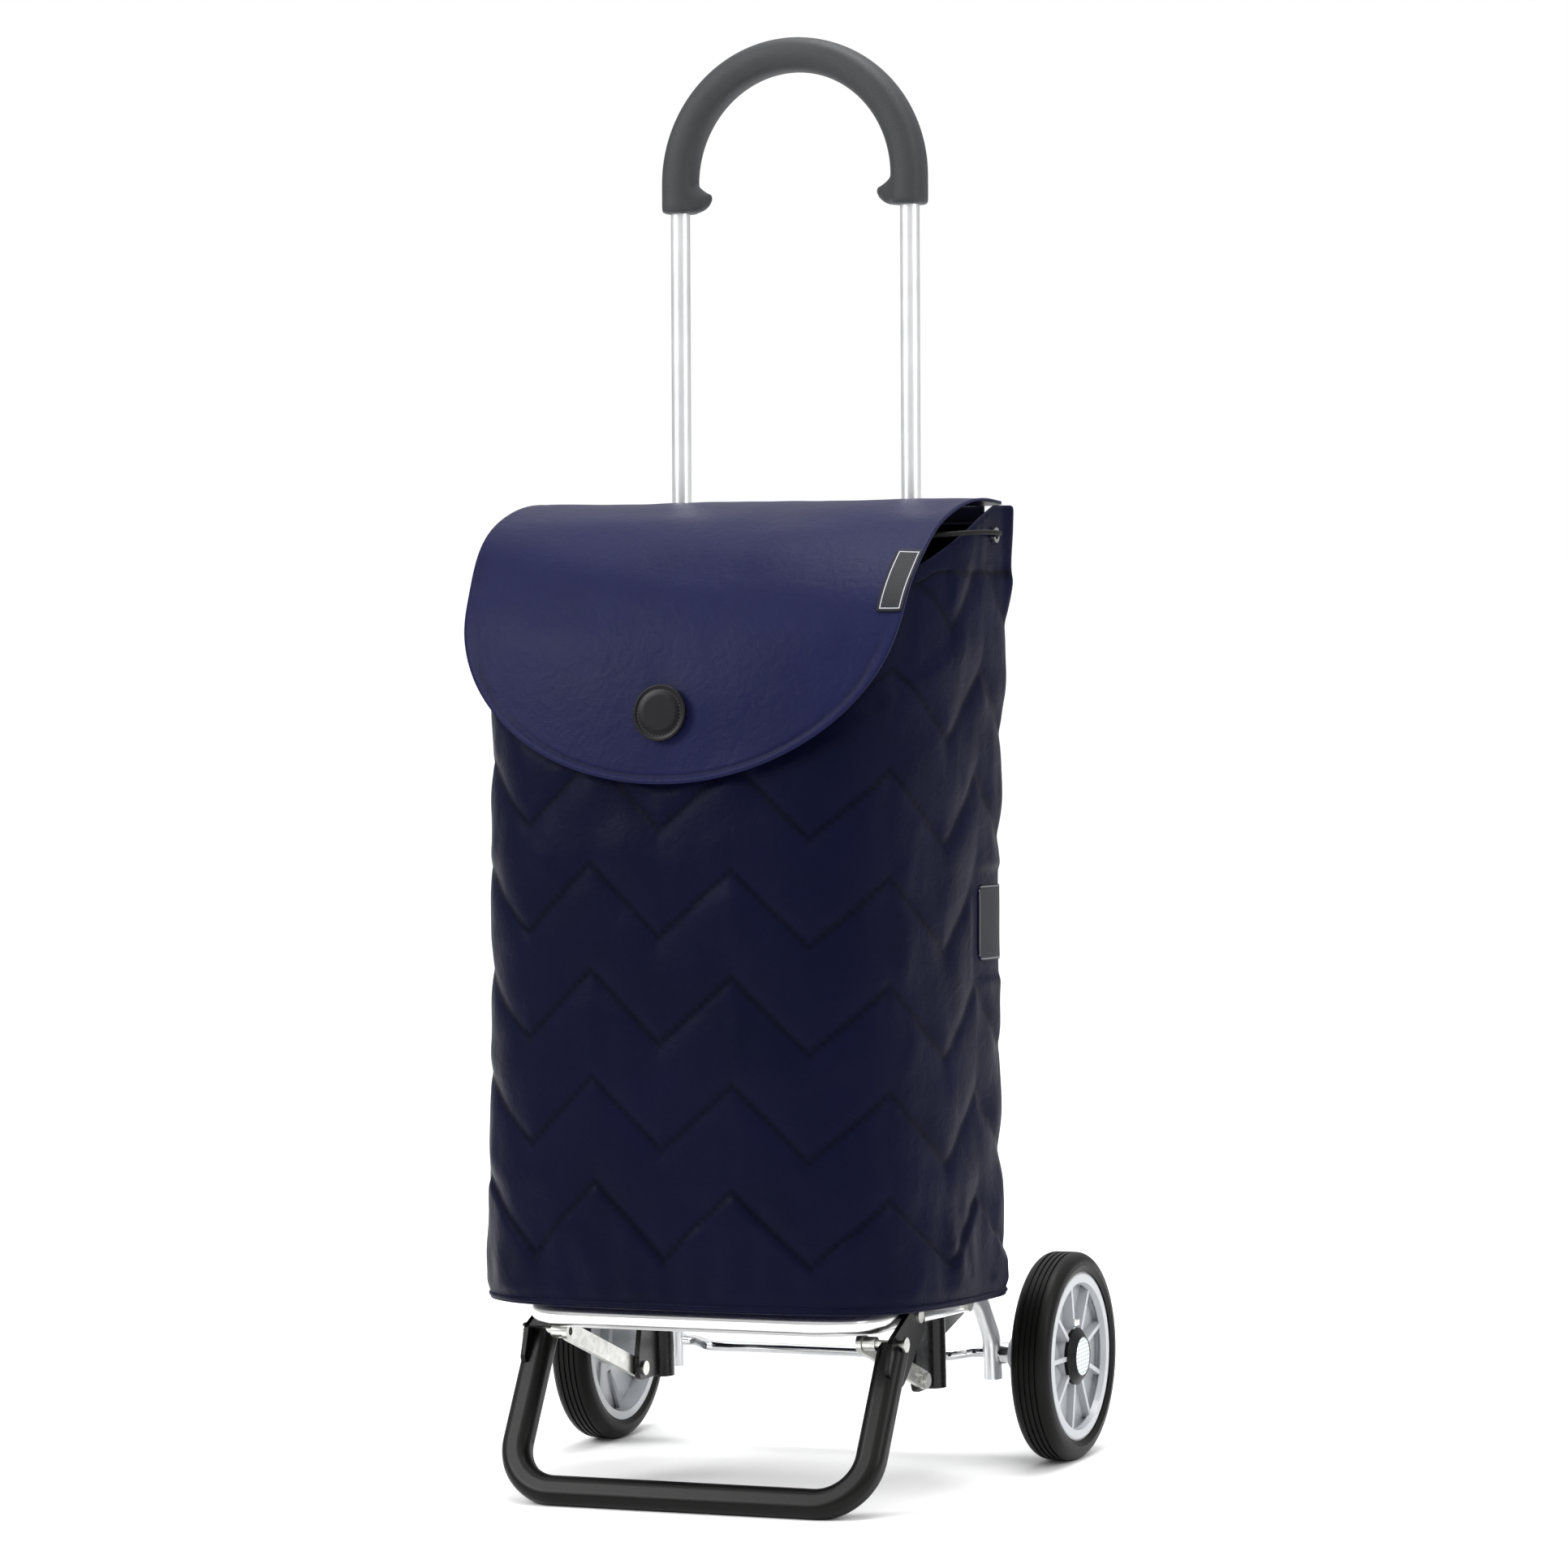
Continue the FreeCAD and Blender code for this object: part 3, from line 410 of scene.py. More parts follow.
# %% Bag grid
ROWS_PER_BAND = 18
ROW_STEP = 73.5 / ROWS_PER_BAND
VALLEY_Z = 387.0
SEAM_Z = VALLEY_Z - 60 * ROW_STEP
COLLAR_Z = SEAM_Z + 122 * ROW_STEP
MOUTH_TOP = 679.0
CELLS = 2 * (BACK_CELLS + FRONT_CELLS)


def mouth_height(ring):
    """The mouth's rim: high at the back corners, dipping towards the front under the flap."""
    x, y = np.abs(ring[:, 0]), ring[:, 1]
    corner = np.clip((x - 158) / 10, 0, 1) * np.clip((y + 78) / 30, 0, 1)
    return MOUTH_TOP - 2.0 - 0.47 * np.maximum(0.0, -78.0 - y) + 11.0 * corner


def soft_step(value, low, high):
    share = np.clip((value - low) / (high - low), 0, 1)
    return share * share * (3 - 2 * share)


column = np.arange(CELLS + 1)
rightward = BACK_CELLS + FRONT_CELLS - column
TILT = np.interp(rightward, [-98, -72, -25, 0, 23, 47, 72, 98], [-2, 4.5, 4.5, 1.5, -4, -10, -9, -2])
rows, kinds = [], []
for share in (0.02, 0.25, 0.5, 0.74, 0.88, 0.96, 0.99):
    ring = outline_ring(133.2) * [share, share] + [0, (1 - share) * -105]
    rows.append(np.column_stack([ring, np.full(len(ring), 133.6 - 3.2 * soft_step(share, 0.8, 0.96))]))
    kinds.append("base")
for z in (131.2, 133.6):
    rows.append(np.column_stack([outline_ring(z + 2), np.full(CELLS + 1, z)]))
    kinds.append("base")
for k in range(123):
    z = SEAM_Z + k * ROW_STEP
    ring = outline_ring(z)
    limit = np.minimum(COLLAR_Z, mouth_height(ring) - 9)
    height = z + TILT * soft_step(z, SEAM_Z, 200) * (1 - soft_step(z, 590, COLLAR_Z))
    height = height - 4.5 * (1 - soft_step(z, SEAM_Z - 1, 185))
    squeezed = 560 + (height - 560) * (limit - 560) / (COLLAR_Z - 560)
    rows.append(np.column_stack([ring, np.where(height > 560, squeezed, height)]))
    kinds.append("wall")
for share in np.linspace(0.1, 1.0, 10):
    ring = outline_ring(COLLAR_Z + share * 38)
    top = mouth_height(ring)
    limit = np.minimum(COLLAR_Z, top - 9)
    rows.append(np.column_stack([ring, limit + (top - limit) * share]))
    kinds.append("collar")
for depth, inset in ((-1.2, 2.2), (2.0, 4.2), (14.0, 5.0), (28.0, 5.0)):
    ring = outline_ring(670, inset)
    rows.append(np.column_stack([ring, mouth_height(ring) - depth]))
    kinds.append("inside")
points = np.array(rows)
at_the_sides = np.abs(points[..., 0]) > 120
fold = soft_step(points[..., 1], -36, -22) * soft_step(points[..., 2], 600, 645) * at_the_sides
points[..., 0] += 5.0 * fold * np.sign(points[..., 0])
kinds = np.array(kinds)
print("bag grid", points.shape)

# %% [markdown]
# Where the stitches run is worked out once, as the distance of each grid point to the nearest
# zigzag line. The front and the sides are quilted, and the back is one plain panel.

# %% Stitch lines
from_front = -rightward
quilted = np.abs(from_front) <= FRONT_CELLS
phase = np.abs(((from_front - 1 + 12) % 24) - 12)
row_number = np.full(len(kinds), np.nan)
row_number[kinds == "wall"] = np.arange(123)
offset = (row_number[:, None] - (60 + phase[None, :])) % ROWS_PER_BAND
offset = np.minimum(offset, ROWS_PER_BAND - offset)
stitch_distance = np.where(np.isnan(offset), 9.0, offset) * ROW_STEP * 0.76
low_line = (row_number[:, None] < phase[None, :] + 60 - 3 * ROWS_PER_BAND - 0.5)
stitch_distance = np.where(low_line | ~quilted[None, :], 30.0, stitch_distance)
patch_area = np.abs(points[..., 0]) > 150
patch_area &= np.abs(points[..., 1] + 46) < 36
patch_area &= np.abs(points[..., 2] - 394) < 38
stitch_distance = np.where(patch_area, 30.0, stitch_distance)
on_line = stitch_distance < 0.4
edge_row = np.isin(np.arange(len(kinds)), [8, 9, 131])
print("stitched points", int(on_line.sum()))

# %% [markdown]
# A primitive grid with the right number of cells is added and its points are put in place.
# Then the padding: Blender's Cloth holds the stitched points still, and pressure swells the
# cells between them. The cloth is a few percent larger than the wall it covers, which is
# what makes the real fabric pucker along its seams. How far a point may move is capped.

# %% Bag mesh
def deselect():
    bpy.ops.object.select_all(action="DESELECT")


def grid_object(name, grid):
    """A primitive grid whose points take the given places, in millimetres along the lean."""
    deselect()
    down, across = grid.shape[:2]
    bpy.ops.mesh.primitive_grid_add(x_subdivisions=across - 1, y_subdivisions=down - 1, size=1)
    piece = bpy.context.object
    piece.name = name
    piece.data.name = name
    piece.data.vertices.foreach_set("co", leaned_array(grid.reshape(-1, 3)).astype(np.float32).ravel())
    piece.data.update()
    return piece


def store(piece, name, values):
    attribute = piece.data.attributes.new(name, "FLOAT", "POINT")
    attribute.data.foreach_set("value", np.asarray(values, np.float32).ravel())


def cloth_uv(piece, u, v):
    """A UV map measured in metres along the fabric."""
    layer = piece.data.uv_layers.get("cloth") or piece.data.uv_layers.new(name="cloth")
    for other in [each for each in piece.data.uv_layers if each.name != "cloth"]:
        piece.data.uv_layers.remove(other)
    layer = piece.data.uv_layers["cloth"]
    loops = np.zeros(len(piece.data.loops), np.int32)
    piece.data.loops.foreach_get("vertex_index", loops)
    layer.data.foreach_set("uv", np.stack([u[loops], v[loops]], 1).astype(np.float32).ravel())


bag = grid_object("quilted_bag", points)
along_u = np.broadcast_to(column[None, :] * 4.6 / 1000, points.shape[:2]).ravel()
side_steps = np.linalg.norm(np.diff(points[:, 60], axis=0), axis=1)
along_v = np.broadcast_to(np.cumsum(np.concatenate([[0], side_steps]))[:, None] / 1000,
                          points.shape[:2]).ravel()
cloth_uv(bag, along_u, along_v)
seam_line = np.exp(-(stitch_distance / 1.6) ** 2) * 0.75
seam_line[131] = 0.8
store(bag, "seam", seam_line)
print("bag points", len(bag.data.vertices))

# %% Padding
def fabric_cap(grid):
    """How far each point may swell, in millimetres: less under the flap and near fittings."""
    x, y, z = grid[..., 0], grid[..., 1], grid[..., 2]
    cap = np.full(grid.shape[:2], 5.0)
    tongue = 166 * np.sqrt(np.clip(1 - ((617 - np.minimum(z, 617)) / 123) ** 2, 0, 1))
    under = (z > 488) & (np.abs(x) < tongue + 8) & (y < -120)
    cap[under] = 1.2
    cap[(y > -14)] = 1.5
    cap[kinds == "collar"] = np.minimum(cap[kinds == "collar"], 2.5)
    cap[(kinds == "base") | (kinds == "inside")] = 0.0
    near = (np.abs(np.abs(x) - 172) < 8) & (np.abs(y + 52) < 16) & (np.abs(z - 666.5) < 16)
    cap[near] = 0.8
    cap[patch_area] = 1.2
    cap[:10] = np.minimum(cap[:10], 0.5)
    cap[under & (z > 585)] = 0.7
    return cap


def swell(piece, cap_mm, pinned):
    """Runs the Cloth on a copy for 20 frames and returns the capped movement."""
    rest = np.array([v.co for v in piece.data.vertices])
    work = piece.copy()
    work.data = piece.data.copy()
    bpy.context.scene.collection.objects.link(work)
    group = work.vertex_groups.new(name="sewn")
    for index in np.flatnonzero(pinned):
        group.add([int(index)], 1.0, "REPLACE")
    cloth = work.modifiers.new("padding", "CLOTH")
    cloth.settings.quality = 6
    cloth.settings.mass = 0.25
    cloth.settings.tension_stiffness = 18
    cloth.settings.compression_stiffness = 18
    cloth.settings.bending_stiffness = 0.35
    cloth.settings.shrink_min = -0.02
    cloth.settings.use_pressure = True
    cloth.settings.uniform_pressure_force = 4.0
    cloth.settings.vertex_group_mass = "sewn"
    cloth.settings.effector_weights.gravity = 0.12
    cloth.point_cache.frame_start = 1
    cloth.point_cache.frame_end = 20
    for step in range(1, 21):
        bpy.context.scene.frame_set(step)
    depsgraph = bpy.context.evaluated_depsgraph_get()
    moved = np.array([v.co for v in work.evaluated_get(depsgraph).data.vertices])
    bpy.context.scene.frame_set(1)
    bpy.data.objects.remove(work)
    shift = moved - rest
    size = np.linalg.norm(shift, axis=1)
    limit = cap_mm / 1000
    soft = limit * np.tanh(size / np.maximum(limit, 1e-9))
    return shift * (soft / np.maximum(size, 1e-9))[:, None], rest


def outward(grid):
    """Unit normals of the grid, pointing away from the bag's middle, in the leaned frame."""
    du = np.gradient(grid, axis=1)
    dv = np.gradient(grid, axis=0)
    normal = np.cross(du, dv)
    normal /= np.maximum(np.linalg.norm(normal, axis=2), 1e-9)[..., None]
    middle = grid - np.array([0, -110, 0])
    flip = np.sign((normal[..., :2] * middle[..., :2]).sum(-1))
    return normal * np.where(flip == 0, 1, flip)[..., None]


cap = fabric_cap(points)
normals = outward(points)
pinned = on_line | (cap < 0.6) | edge_row[:, None] | (kinds[:, None] == "inside")
movement, rest = swell(bag, cap.ravel(), pinned.ravel())
c, s = math.cos(LEAN), math.sin(LEAN)
mm = movement * 1000
turned_back = np.stack([mm[:, 0], mm[:, 1] * c - mm[:, 2] * s, mm[:, 2] * c + mm[:, 1] * s], 1)
amount = (turned_back.reshape(points.shape) * normals).sum(-1)
for each_pass in range(2):
    beside = (np.roll(amount[:, :-1], 1, 1) + np.roll(amount[:, :-1], -1, 1)) / 2
    above = (np.vstack([amount[:1], amount[:-1]]) + np.vstack([amount[1:], amount[-1:]])) / 2
    amount = 0.4 * amount + 0.3 * np.hstack([beside, beside[:, :1]]) + 0.3 * above
    amount = np.where(on_line, 0, amount)
even = cap * (1 - np.exp(-(stitch_distance / 10.0) ** 1.4)) * (quilted & (kinds == "wall")[:, None])
swollen = points + normals * (0.45 * np.clip(amount, -0.6, 5) + 0.5 * even)[..., None]
print("mean swell", round(float(np.abs(swollen - points).mean()), 2), "mm")

# %% [markdown]
# Real sewn fabric is never smooth. Each stitch line is pulled in by about a millimetre, and two
# sizes of soft creases are laid over the padding, stronger near the bottom seam and the collar.

# %% Creases
def crease(grid):
    low = np.clip((230 - grid[..., 2]) / 90, 0, 1)
    high = np.clip((grid[..., 2] - 640) / 10, 0, 1)
    out = np.zeros(grid.shape[:2])
    for i in range(grid.shape[0]):
        for j in range(grid.shape[1] - 1):
            x, y, z = grid[i, j]
            run = column[j] * 4.6
            wide = noise.noise(Vector((run / 46, z / 30, 3.1)))
            folds = noise.noise(Vector((run / 17, z / 42, 7.7)))
            out[i, j] = wide * 1.3 + folds * (0.6 + 2.4 * low[i, j] + 1.8 * high[i, j])
    out[:, -1] = out[:, 0]
    return out


fade = np.clip(cap / 4.0, 0, 1)
swollen = swollen + normals * (crease(points) * fade)[..., None]
sink = np.exp(-(stitch_distance / 2.2) ** 2) * 0.9
sink[131] = 1.4
swollen = swollen - normals * (sink * (cap > 0.6))[..., None]
swollen[:, -1] = swollen[:, 0]
bag.data.vertices.foreach_set("co", leaned_array(swollen.reshape(-1, 3)).astype(np.float32).ravel())
bag.data.update()
print("creases laid")

# %% Bag finishing
def edit_all(piece):
    deselect()
    piece.select_set(True)
    bpy.context.view_layer.objects.active = piece
    bpy.ops.object.mode_set(mode="EDIT")
    bpy.ops.mesh.select_all(action="SELECT")


def apply_modifier(piece, kind, **settings):
    deselect()
    piece.select_set(True)
    bpy.context.view_layer.objects.active = piece
    modifier = piece.modifiers.new(kind.lower(), kind)
    for key, value in settings.items():
        setattr(modifier, key, value)
    bpy.ops.object.modifier_apply(modifier=modifier.name)


def finish_piece(piece, material, body):
    """Smooth faces, one material, and a body to ride on."""
    piece.data.materials.clear()
    piece.data.materials.append(material)
    deselect()
    piece.select_set(True)
    bpy.context.view_layer.objects.active = piece
    bpy.ops.object.shade_smooth()
    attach(piece, body)
    print(piece.name, "with", len(piece.data.polygons), "faces rides on", body)


edit_all(bag)
bpy.ops.mesh.remove_doubles(threshold=0.00005)
bpy.ops.mesh.normals_make_consistent(inside=False)
bpy.ops.object.mode_set(mode="OBJECT")
centre = Vector(leaned(0, -110, 400))
outer_face = max(bag.data.polygons, key=lambda f: f.center.x)
if outer_face.normal.dot(outer_face.center - centre) < 0:
    bag.data.flip_normals()
apply_modifier(bag, "SUBSURF", levels=1, render_levels=1)
apply_modifier(bag, "SOLIDIFY", thickness=0.0016, offset=-1.0)
finish_piece(bag, bag_sateen, "frame")
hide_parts("bag_body")
surface = BVHTree.FromPolygons([v.co for v in bag.data.vertices],
                               [p.vertices[:] for p in bag.data.polygons])

# %% [markdown]
# A piping cord is sewn into the bottom seam. It is a closed tube along the bag's own edge,
# made as a curve with a round bevel, then turned to a mesh.

# %% Bottom piping
def tube_mesh(name, track, radius_mm, cyclic=True, sides=3):
    data = bpy.data.curves.new(name, "CURVE")
    data.dimensions = "3D"
    spline = data.splines.new("POLY")
    spline.points.add(len(track) - 1)
    for point, co in zip(spline.points, track):
        point.co = (*co, 1)
    spline.use_cyclic_u = cyclic
    data.bevel_depth = radius_mm / 1000
    data.bevel_resolution = sides
    data.use_fill_caps = not cyclic
    piece = bpy.data.objects.new(name, data)
    bpy.context.scene.collection.objects.link(piece)
    deselect()
    piece.select_set(True)
    bpy.context.view_layer.objects.active = piece
    bpy.ops.object.convert(target="MESH")
    return bpy.context.object


ring = outline_ring(138.5, -1.0)
wobble = np.array([noise.noise(Vector((i / 5.0, 0.4, 9.0))) for i in range(len(ring))])
track = [leaned(p[0], p[1], 134.4 + 0.7 * w) for p, w in zip(ring[:-1], wobble)]
piping = tube_mesh("bottom_piping", track, 2.1)
piping_points = np.array([v.co for v in piping.data.vertices])
cloth_uv(piping, piping_points[:, 0], piping_points[:, 1])
store(piping, "seam", np.zeros(len(piping.data.vertices)))
finish_piece(piping, bag_sateen, "frame")
for soft in (bag, piping):
    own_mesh(soft)

# %% [markdown]
# The flap is one smooth sheet from the hinge at the back, over the mouth and down the front,
# where it ends in a half round. Its rows are chords of that shape. It is a little stiff, so
# it bridges the mouth and only bends back round the bag's front corners.

# %% Flap
FLAP_HALF, FLAP_TIP, FLAP_SIDE_END = 166.0, 494.0, 617.0
PROFILE = np.array([(-13.5, 692), (-56, 693.5), (-100, 689.5), (-141, 678), (-174, 660), (-201, 633),
                    (-218, 602), (-227.5, 570), (-233, 540), (-237.5, 510), (-240, 486)], float)


def profile_point(t, x):
    """Y and Z of the flap's outer face at profile parameter t and sideways place x."""
    pull = 12.0 * (abs(x) / FLAP_HALF) ** 2.6
    knots = PROFILE + np.stack([pull * np.minimum(1, np.arange(11) / 5.0) ** 1.5, np.zeros(11)], 1)
    knots = np.vstack([2 * knots[0] - knots[1], knots, 2 * knots[-1] - knots[-2]])
    i = int(min(max(math.floor(t), 0), 9)) + 1
    f = t - (i - 1)
    a, b, c, d = knots[i - 1], knots[i], knots[i + 1], knots[i + 2]
    bend, twist = 2 * a - 5 * b + 4 * c - d, 3 * b - a - 3 * c + d
    return 0.5 * (2 * b + (c - a) * f + bend * f ** 2 + twist * f ** 3)


def t_at_height(z, x):
    low, high = 4.0, 10.0
    for _ in range(24):
        middle = (low + high) / 2
        if profile_point(middle, x)[1] > z:
            low = middle
        else:
            high = middle
    return low


flap_rows = []
flat_t = t_at_height(FLAP_SIDE_END, 0)
ACROSS = 73
for t in np.linspace(0, flat_t, 46)[:-1]:
    xs = np.linspace(-FLAP_HALF, FLAP_HALF, ACROSS)
    flap_rows.append([(x, *profile_point(t, x)) for x in xs])
for angle in np.radians(np.linspace(0, 88.0, 44)):
    width = FLAP_HALF * math.cos(angle)
    z = FLAP_SIDE_END - (FLAP_SIDE_END - FLAP_TIP) * math.sin(angle)
    xs = np.linspace(-width, width, ACROSS)
    flap_rows.append([(x, *profile_point(t_at_height(z, x), x)) for x in xs])
flap_grid = np.array(flap_rows)
edge = np.minimum(FLAP_HALF - np.abs(flap_grid[..., 0]), 200)
below = np.clip((FLAP_SIDE_END - flap_grid[..., 2]) / 123, 0, 1)
round_gap = (1 - np.sqrt((flap_grid[..., 0] / FLAP_HALF) ** 2 + below ** 2)) * 135
edge = np.where(flap_grid[..., 2] < FLAP_SIDE_END, np.minimum(edge, np.maximum(round_gap, 0)), edge)
flap_normal = np.cross(np.gradient(flap_grid, axis=1), np.gradient(flap_grid, axis=0))
flap_normal /= np.maximum(np.linalg.norm(flap_normal, axis=2), 1e-9)[..., None]
if flap_normal[40, 36, 1] > 0:
    flap_normal = -flap_normal
print("flap grid", flap_grid.shape, "stitch edge from", round(float(edge.min()), 1))

# %% Flap folds and hem
waves = np.zeros(edge.shape)
for i in range(edge.shape[0]):
    for j in range(edge.shape[1]):
        x, y, z = flap_grid[i, j]
        waves[i, j] = (noise.noise(Vector((x / 75, (y + z) / 48, 1.3))) * 1.3
                       + noise.noise(Vector((x / 26, (y - z) / 40, 5.3))) * 0.5)
across = flap_grid[..., 0] / FLAP_HALF
bend = np.exp(-((flap_grid[..., 2] - 660) / 32.0) ** 2) * soft_step(-flap_grid[..., 1], 30, 120)
waves = waves - 7.5 * across * np.abs(across) * bend / np.clip(np.clip(edge / 10, 0.2, 1), 0.2, 1)
hem = 0.7 * np.exp(-((edge - 2.0) / 2.5) ** 2) - 0.6 * np.exp(-((edge - 6.0) / 1.3) ** 2)
flap_shape = flap_grid + flap_normal * (waves * np.clip(edge / 10, 0.2, 1) + hem - 0.3)[..., None]
flap = grid_object("button_flap", flap_shape)
flap_u = flap_shape[..., 0].ravel() / 1000
flap_v = np.concatenate([[0], np.cumsum(np.linalg.norm(np.diff(flap_shape[:, 36], axis=0), axis=1))])
cloth_uv(flap, flap_u, np.broadcast_to(flap_v[:, None] / 1000, edge.shape).ravel())
store(flap, "seam", 0.7 * np.exp(-((edge - 6.0) / 1.1) ** 2))
front_face = min(flap.data.polygons, key=lambda f: f.center.y)
if front_face.normal.y > 0:
    flap.data.flip_normals()
apply_modifier(flap, "SUBSURF", levels=1, render_levels=1)
flap_surface = BVHTree.FromPolygons([v.co for v in flap.data.vertices],
                                    [p.vertices[:] for p in flap.data.polygons])
apply_modifier(flap, "SOLIDIFY", thickness=0.0022, offset=-1.0)
finish_piece(flap, flap_sateen, "flap")
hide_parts("flap")

# %% [markdown]
# The grip is one soft foam moulding: an arch with an oblong section, whose lower ends turn in
# to a small beak that keeps the hands in place. The section is spun through half a turn, its
# ends are extruded down, and three shrinking balls are laid in for each beak. Remeshing joins
# them to one skin, and smoothing leaves the soft hollow that a moulded part has there.

# %% Grip arch
low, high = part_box("handle_grip")
ARCH_R, ARCH_Z, UPRIGHT_X, LEG_LENGTH = 90.0, 928.0, 90.25, 21.5


def upright_frame(piece):
    """Turns a piece drawn in metres along the uprights to its real place."""
    c, s = math.cos(LEAN), math.sin(LEAN)
    turn = Matrix(((1, 0, 0, 0), (0, c, s, SHIFT_Y / 1000), (0, -s, c, 0), (0, 0, 0, 1)))
    piece.data.transform(turn)
    piece.data.update()


deselect()
bpy.ops.mesh.primitive_circle_add(vertices=40, radius=0.0129, location=(ARCH_R / 1000, 0, ARCH_Z / 1000))
grip = bpy.context.object
grip.name = "soft_grip"
bpy.ops.object.transform_apply(location=True, rotation=False, scale=False)
for vertex in grip.data.vertices:
    x, y = vertex.co.x - ARCH_R / 1000, vertex.co.y
    angle = math.atan2(y, x)
    blunt = (abs(math.cos(angle)) ** 2.6 + abs(math.sin(angle)) ** 2.6) ** (-1 / 2.6)
    vertex.co.x = ARCH_R / 1000 + 0.0127 * blunt * math.cos(angle)
    vertex.co.y = 0.0142 * blunt * math.sin(angle)
edit_all(grip)
bpy.ops.mesh.spin(steps=64, angle=math.pi, center=(0, 0, ARCH_Z / 1000), axis=(0, 1, 0))
bpy.ops.object.mode_set(mode="OBJECT")
bpy.ops.object.mode_set(mode="EDIT")
bpy.ops.mesh.select_mode(type="EDGE")
bpy.ops.mesh.select_all(action="SELECT")
bpy.ops.mesh.region_to_loop()
for step in range(5):
    bpy.ops.mesh.extrude_region_move(TRANSFORM_OT_translate={"value": (0, 0, -LEG_LENGTH / 5000)})
bpy.ops.mesh.edge_face_add()
bpy.ops.object.mode_set(mode="OBJECT")
print("arch ends at z", round(min(v.co.z for v in grip.data.vertices), 4))

# %% Grip beaks and skin
parts = [grip]
for side in (1, -1):
    for inward, above, radius in ((9.0, 11.0, 10.4), (14.5, 9.0, 8.6), (19.0, 9.3, 6.0), (22.6, 11.0, 3.6)):
        deselect()
        spot = (side * (UPRIGHT_X - inward) / 1000, 0, (ARCH_Z - LEG_LENGTH + above) / 1000)
        bpy.ops.mesh.primitive_uv_sphere_add(segments=32, ring_count=16, radius=radius / 1000, location=spot)
        parts.append(bpy.context.object)
deselect()
for part in parts:
    part.select_set(True)
bpy.context.view_layer.objects.active = grip
bpy.ops.object.join()
edit_all(grip)
bpy.ops.mesh.fill_holes(sides=0)
bpy.ops.mesh.select_all(action="SELECT")
bpy.ops.mesh.normals_make_consistent(inside=False)
bpy.ops.object.mode_set(mode="OBJECT")
apply_modifier(grip, "REMESH", mode="VOXEL", voxel_size=0.0016)
apply_modifier(grip, "SMOOTH", factor=0.5, iterations=14)
upright_frame(grip)
finish_piece(grip, foam_grip, "frame")
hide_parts("handle_grip")

# %% [markdown]
# The label is a strip of woven tape sewn to the flap's right edge, with a thin pale border.
# The patch is a small reflective square on each side. Both are grids laid on the surface
# under them, so they follow its curve. The border is drawn from the piece's own UV map.

# %% Tape materials
def framed_tape(name, dark, light, border, margin, line):
    """Woven tape with a thin border line a set share in from the edge."""
    material, tree, shader, where = start_material(name, dark, 0.62, 0.0, Specular_IOR_Level=0.25)
    uv = add(tree, "ShaderNodeUVMap", {"uv_map": "cloth"}).outputs[0]
    split = add(tree, "ShaderNodeSeparateXYZ", {}, {0: uv})
    nearest = None
    for axis in (0, 1):
        centred = add(tree, "ShaderNodeMath", {"operation": "SUBTRACT", 1: 0.5}, {0: split.outputs[axis]})
        away = add(tree, "ShaderNodeMath", {"operation": "ABSOLUTE"}, {0: centred.outputs[0]})
        share = add(tree, "ShaderNodeMath", {"operation": "SUBTRACT", 0: 0.5}, {1: away.outputs[0]})
        sized = add(tree, "ShaderNodeMath", {"operation": "MULTIPLY", 1: line[axis]}, {0: share.outputs[0]})
        nearest = sized if nearest is None else add(
            tree, "ShaderNodeMath", {"operation": "MINIMUM"}, {0: nearest.outputs[0], 1: sized.outputs[0]})
    off = add(tree, "ShaderNodeMath", {"operation": "SUBTRACT", 1: margin}, {0: nearest.outputs[0]})
    size = add(tree, "ShaderNodeMath", {"operation": "ABSOLUTE"}, {0: off.outputs[0]})
    mark = add(tree, "ShaderNodeMath", {"operation": "LESS_THAN", 1: 0.35}, {0: size.outputs[0]})
    twill = add(tree, "ShaderNodeTexWave", {"Scale": per_metre(1.0) / 3.1, "bands_direction": "DIAGONAL"},
                {"Vector": where})
    ground = add(tree, "ShaderNodeMix", {"data_type": "RGBA", 6: linear(dark), 7: linear(light)},
                 {0: twill.outputs["Fac"]})
    final = add(tree, "ShaderNodeMix", {"data_type": "RGBA", 7: linear(border)},
                {0: mark.outputs[0], 6: ground.outputs[2]})
    tree.links.new(final.outputs[2], shader.inputs["Base Color"])
    raised(tree, shader, twill.outputs["Fac"], 0.5, 0.15)
    return material


label_tape = framed_tape("polyester_label_woven", "#0a0b10", "#101118", "#9a9ca4", 2.2, (18, 50))
patch_tape = framed_tape("reflective_tape_grey", "#13141a", "#1a1b22", "#6d7076", 1.2, (48, 53))


def rounded(u, v, share):
    """Pulls a square grid's corners in to quarter circles of this share of its half width."""
    a, b = 2 * u - 1, 2 * v - 1
    over_a = np.maximum(np.abs(a) - (1 - share), 0) / share
    over_b = np.maximum(np.abs(b) - (1 - share), 0) / share
    pull = np.maximum(over_a, over_b) / np.maximum(np.hypot(over_a, over_b), 1e-9)
    a2 = np.where(over_a > 0, np.sign(a) * (1 - share + share * over_a * pull), a)
    b2 = np.where(over_b > 0, np.sign(b) * (1 - share + share * over_b * pull), b)
    return (a2 + 1) / 2, (b2 + 1) / 2


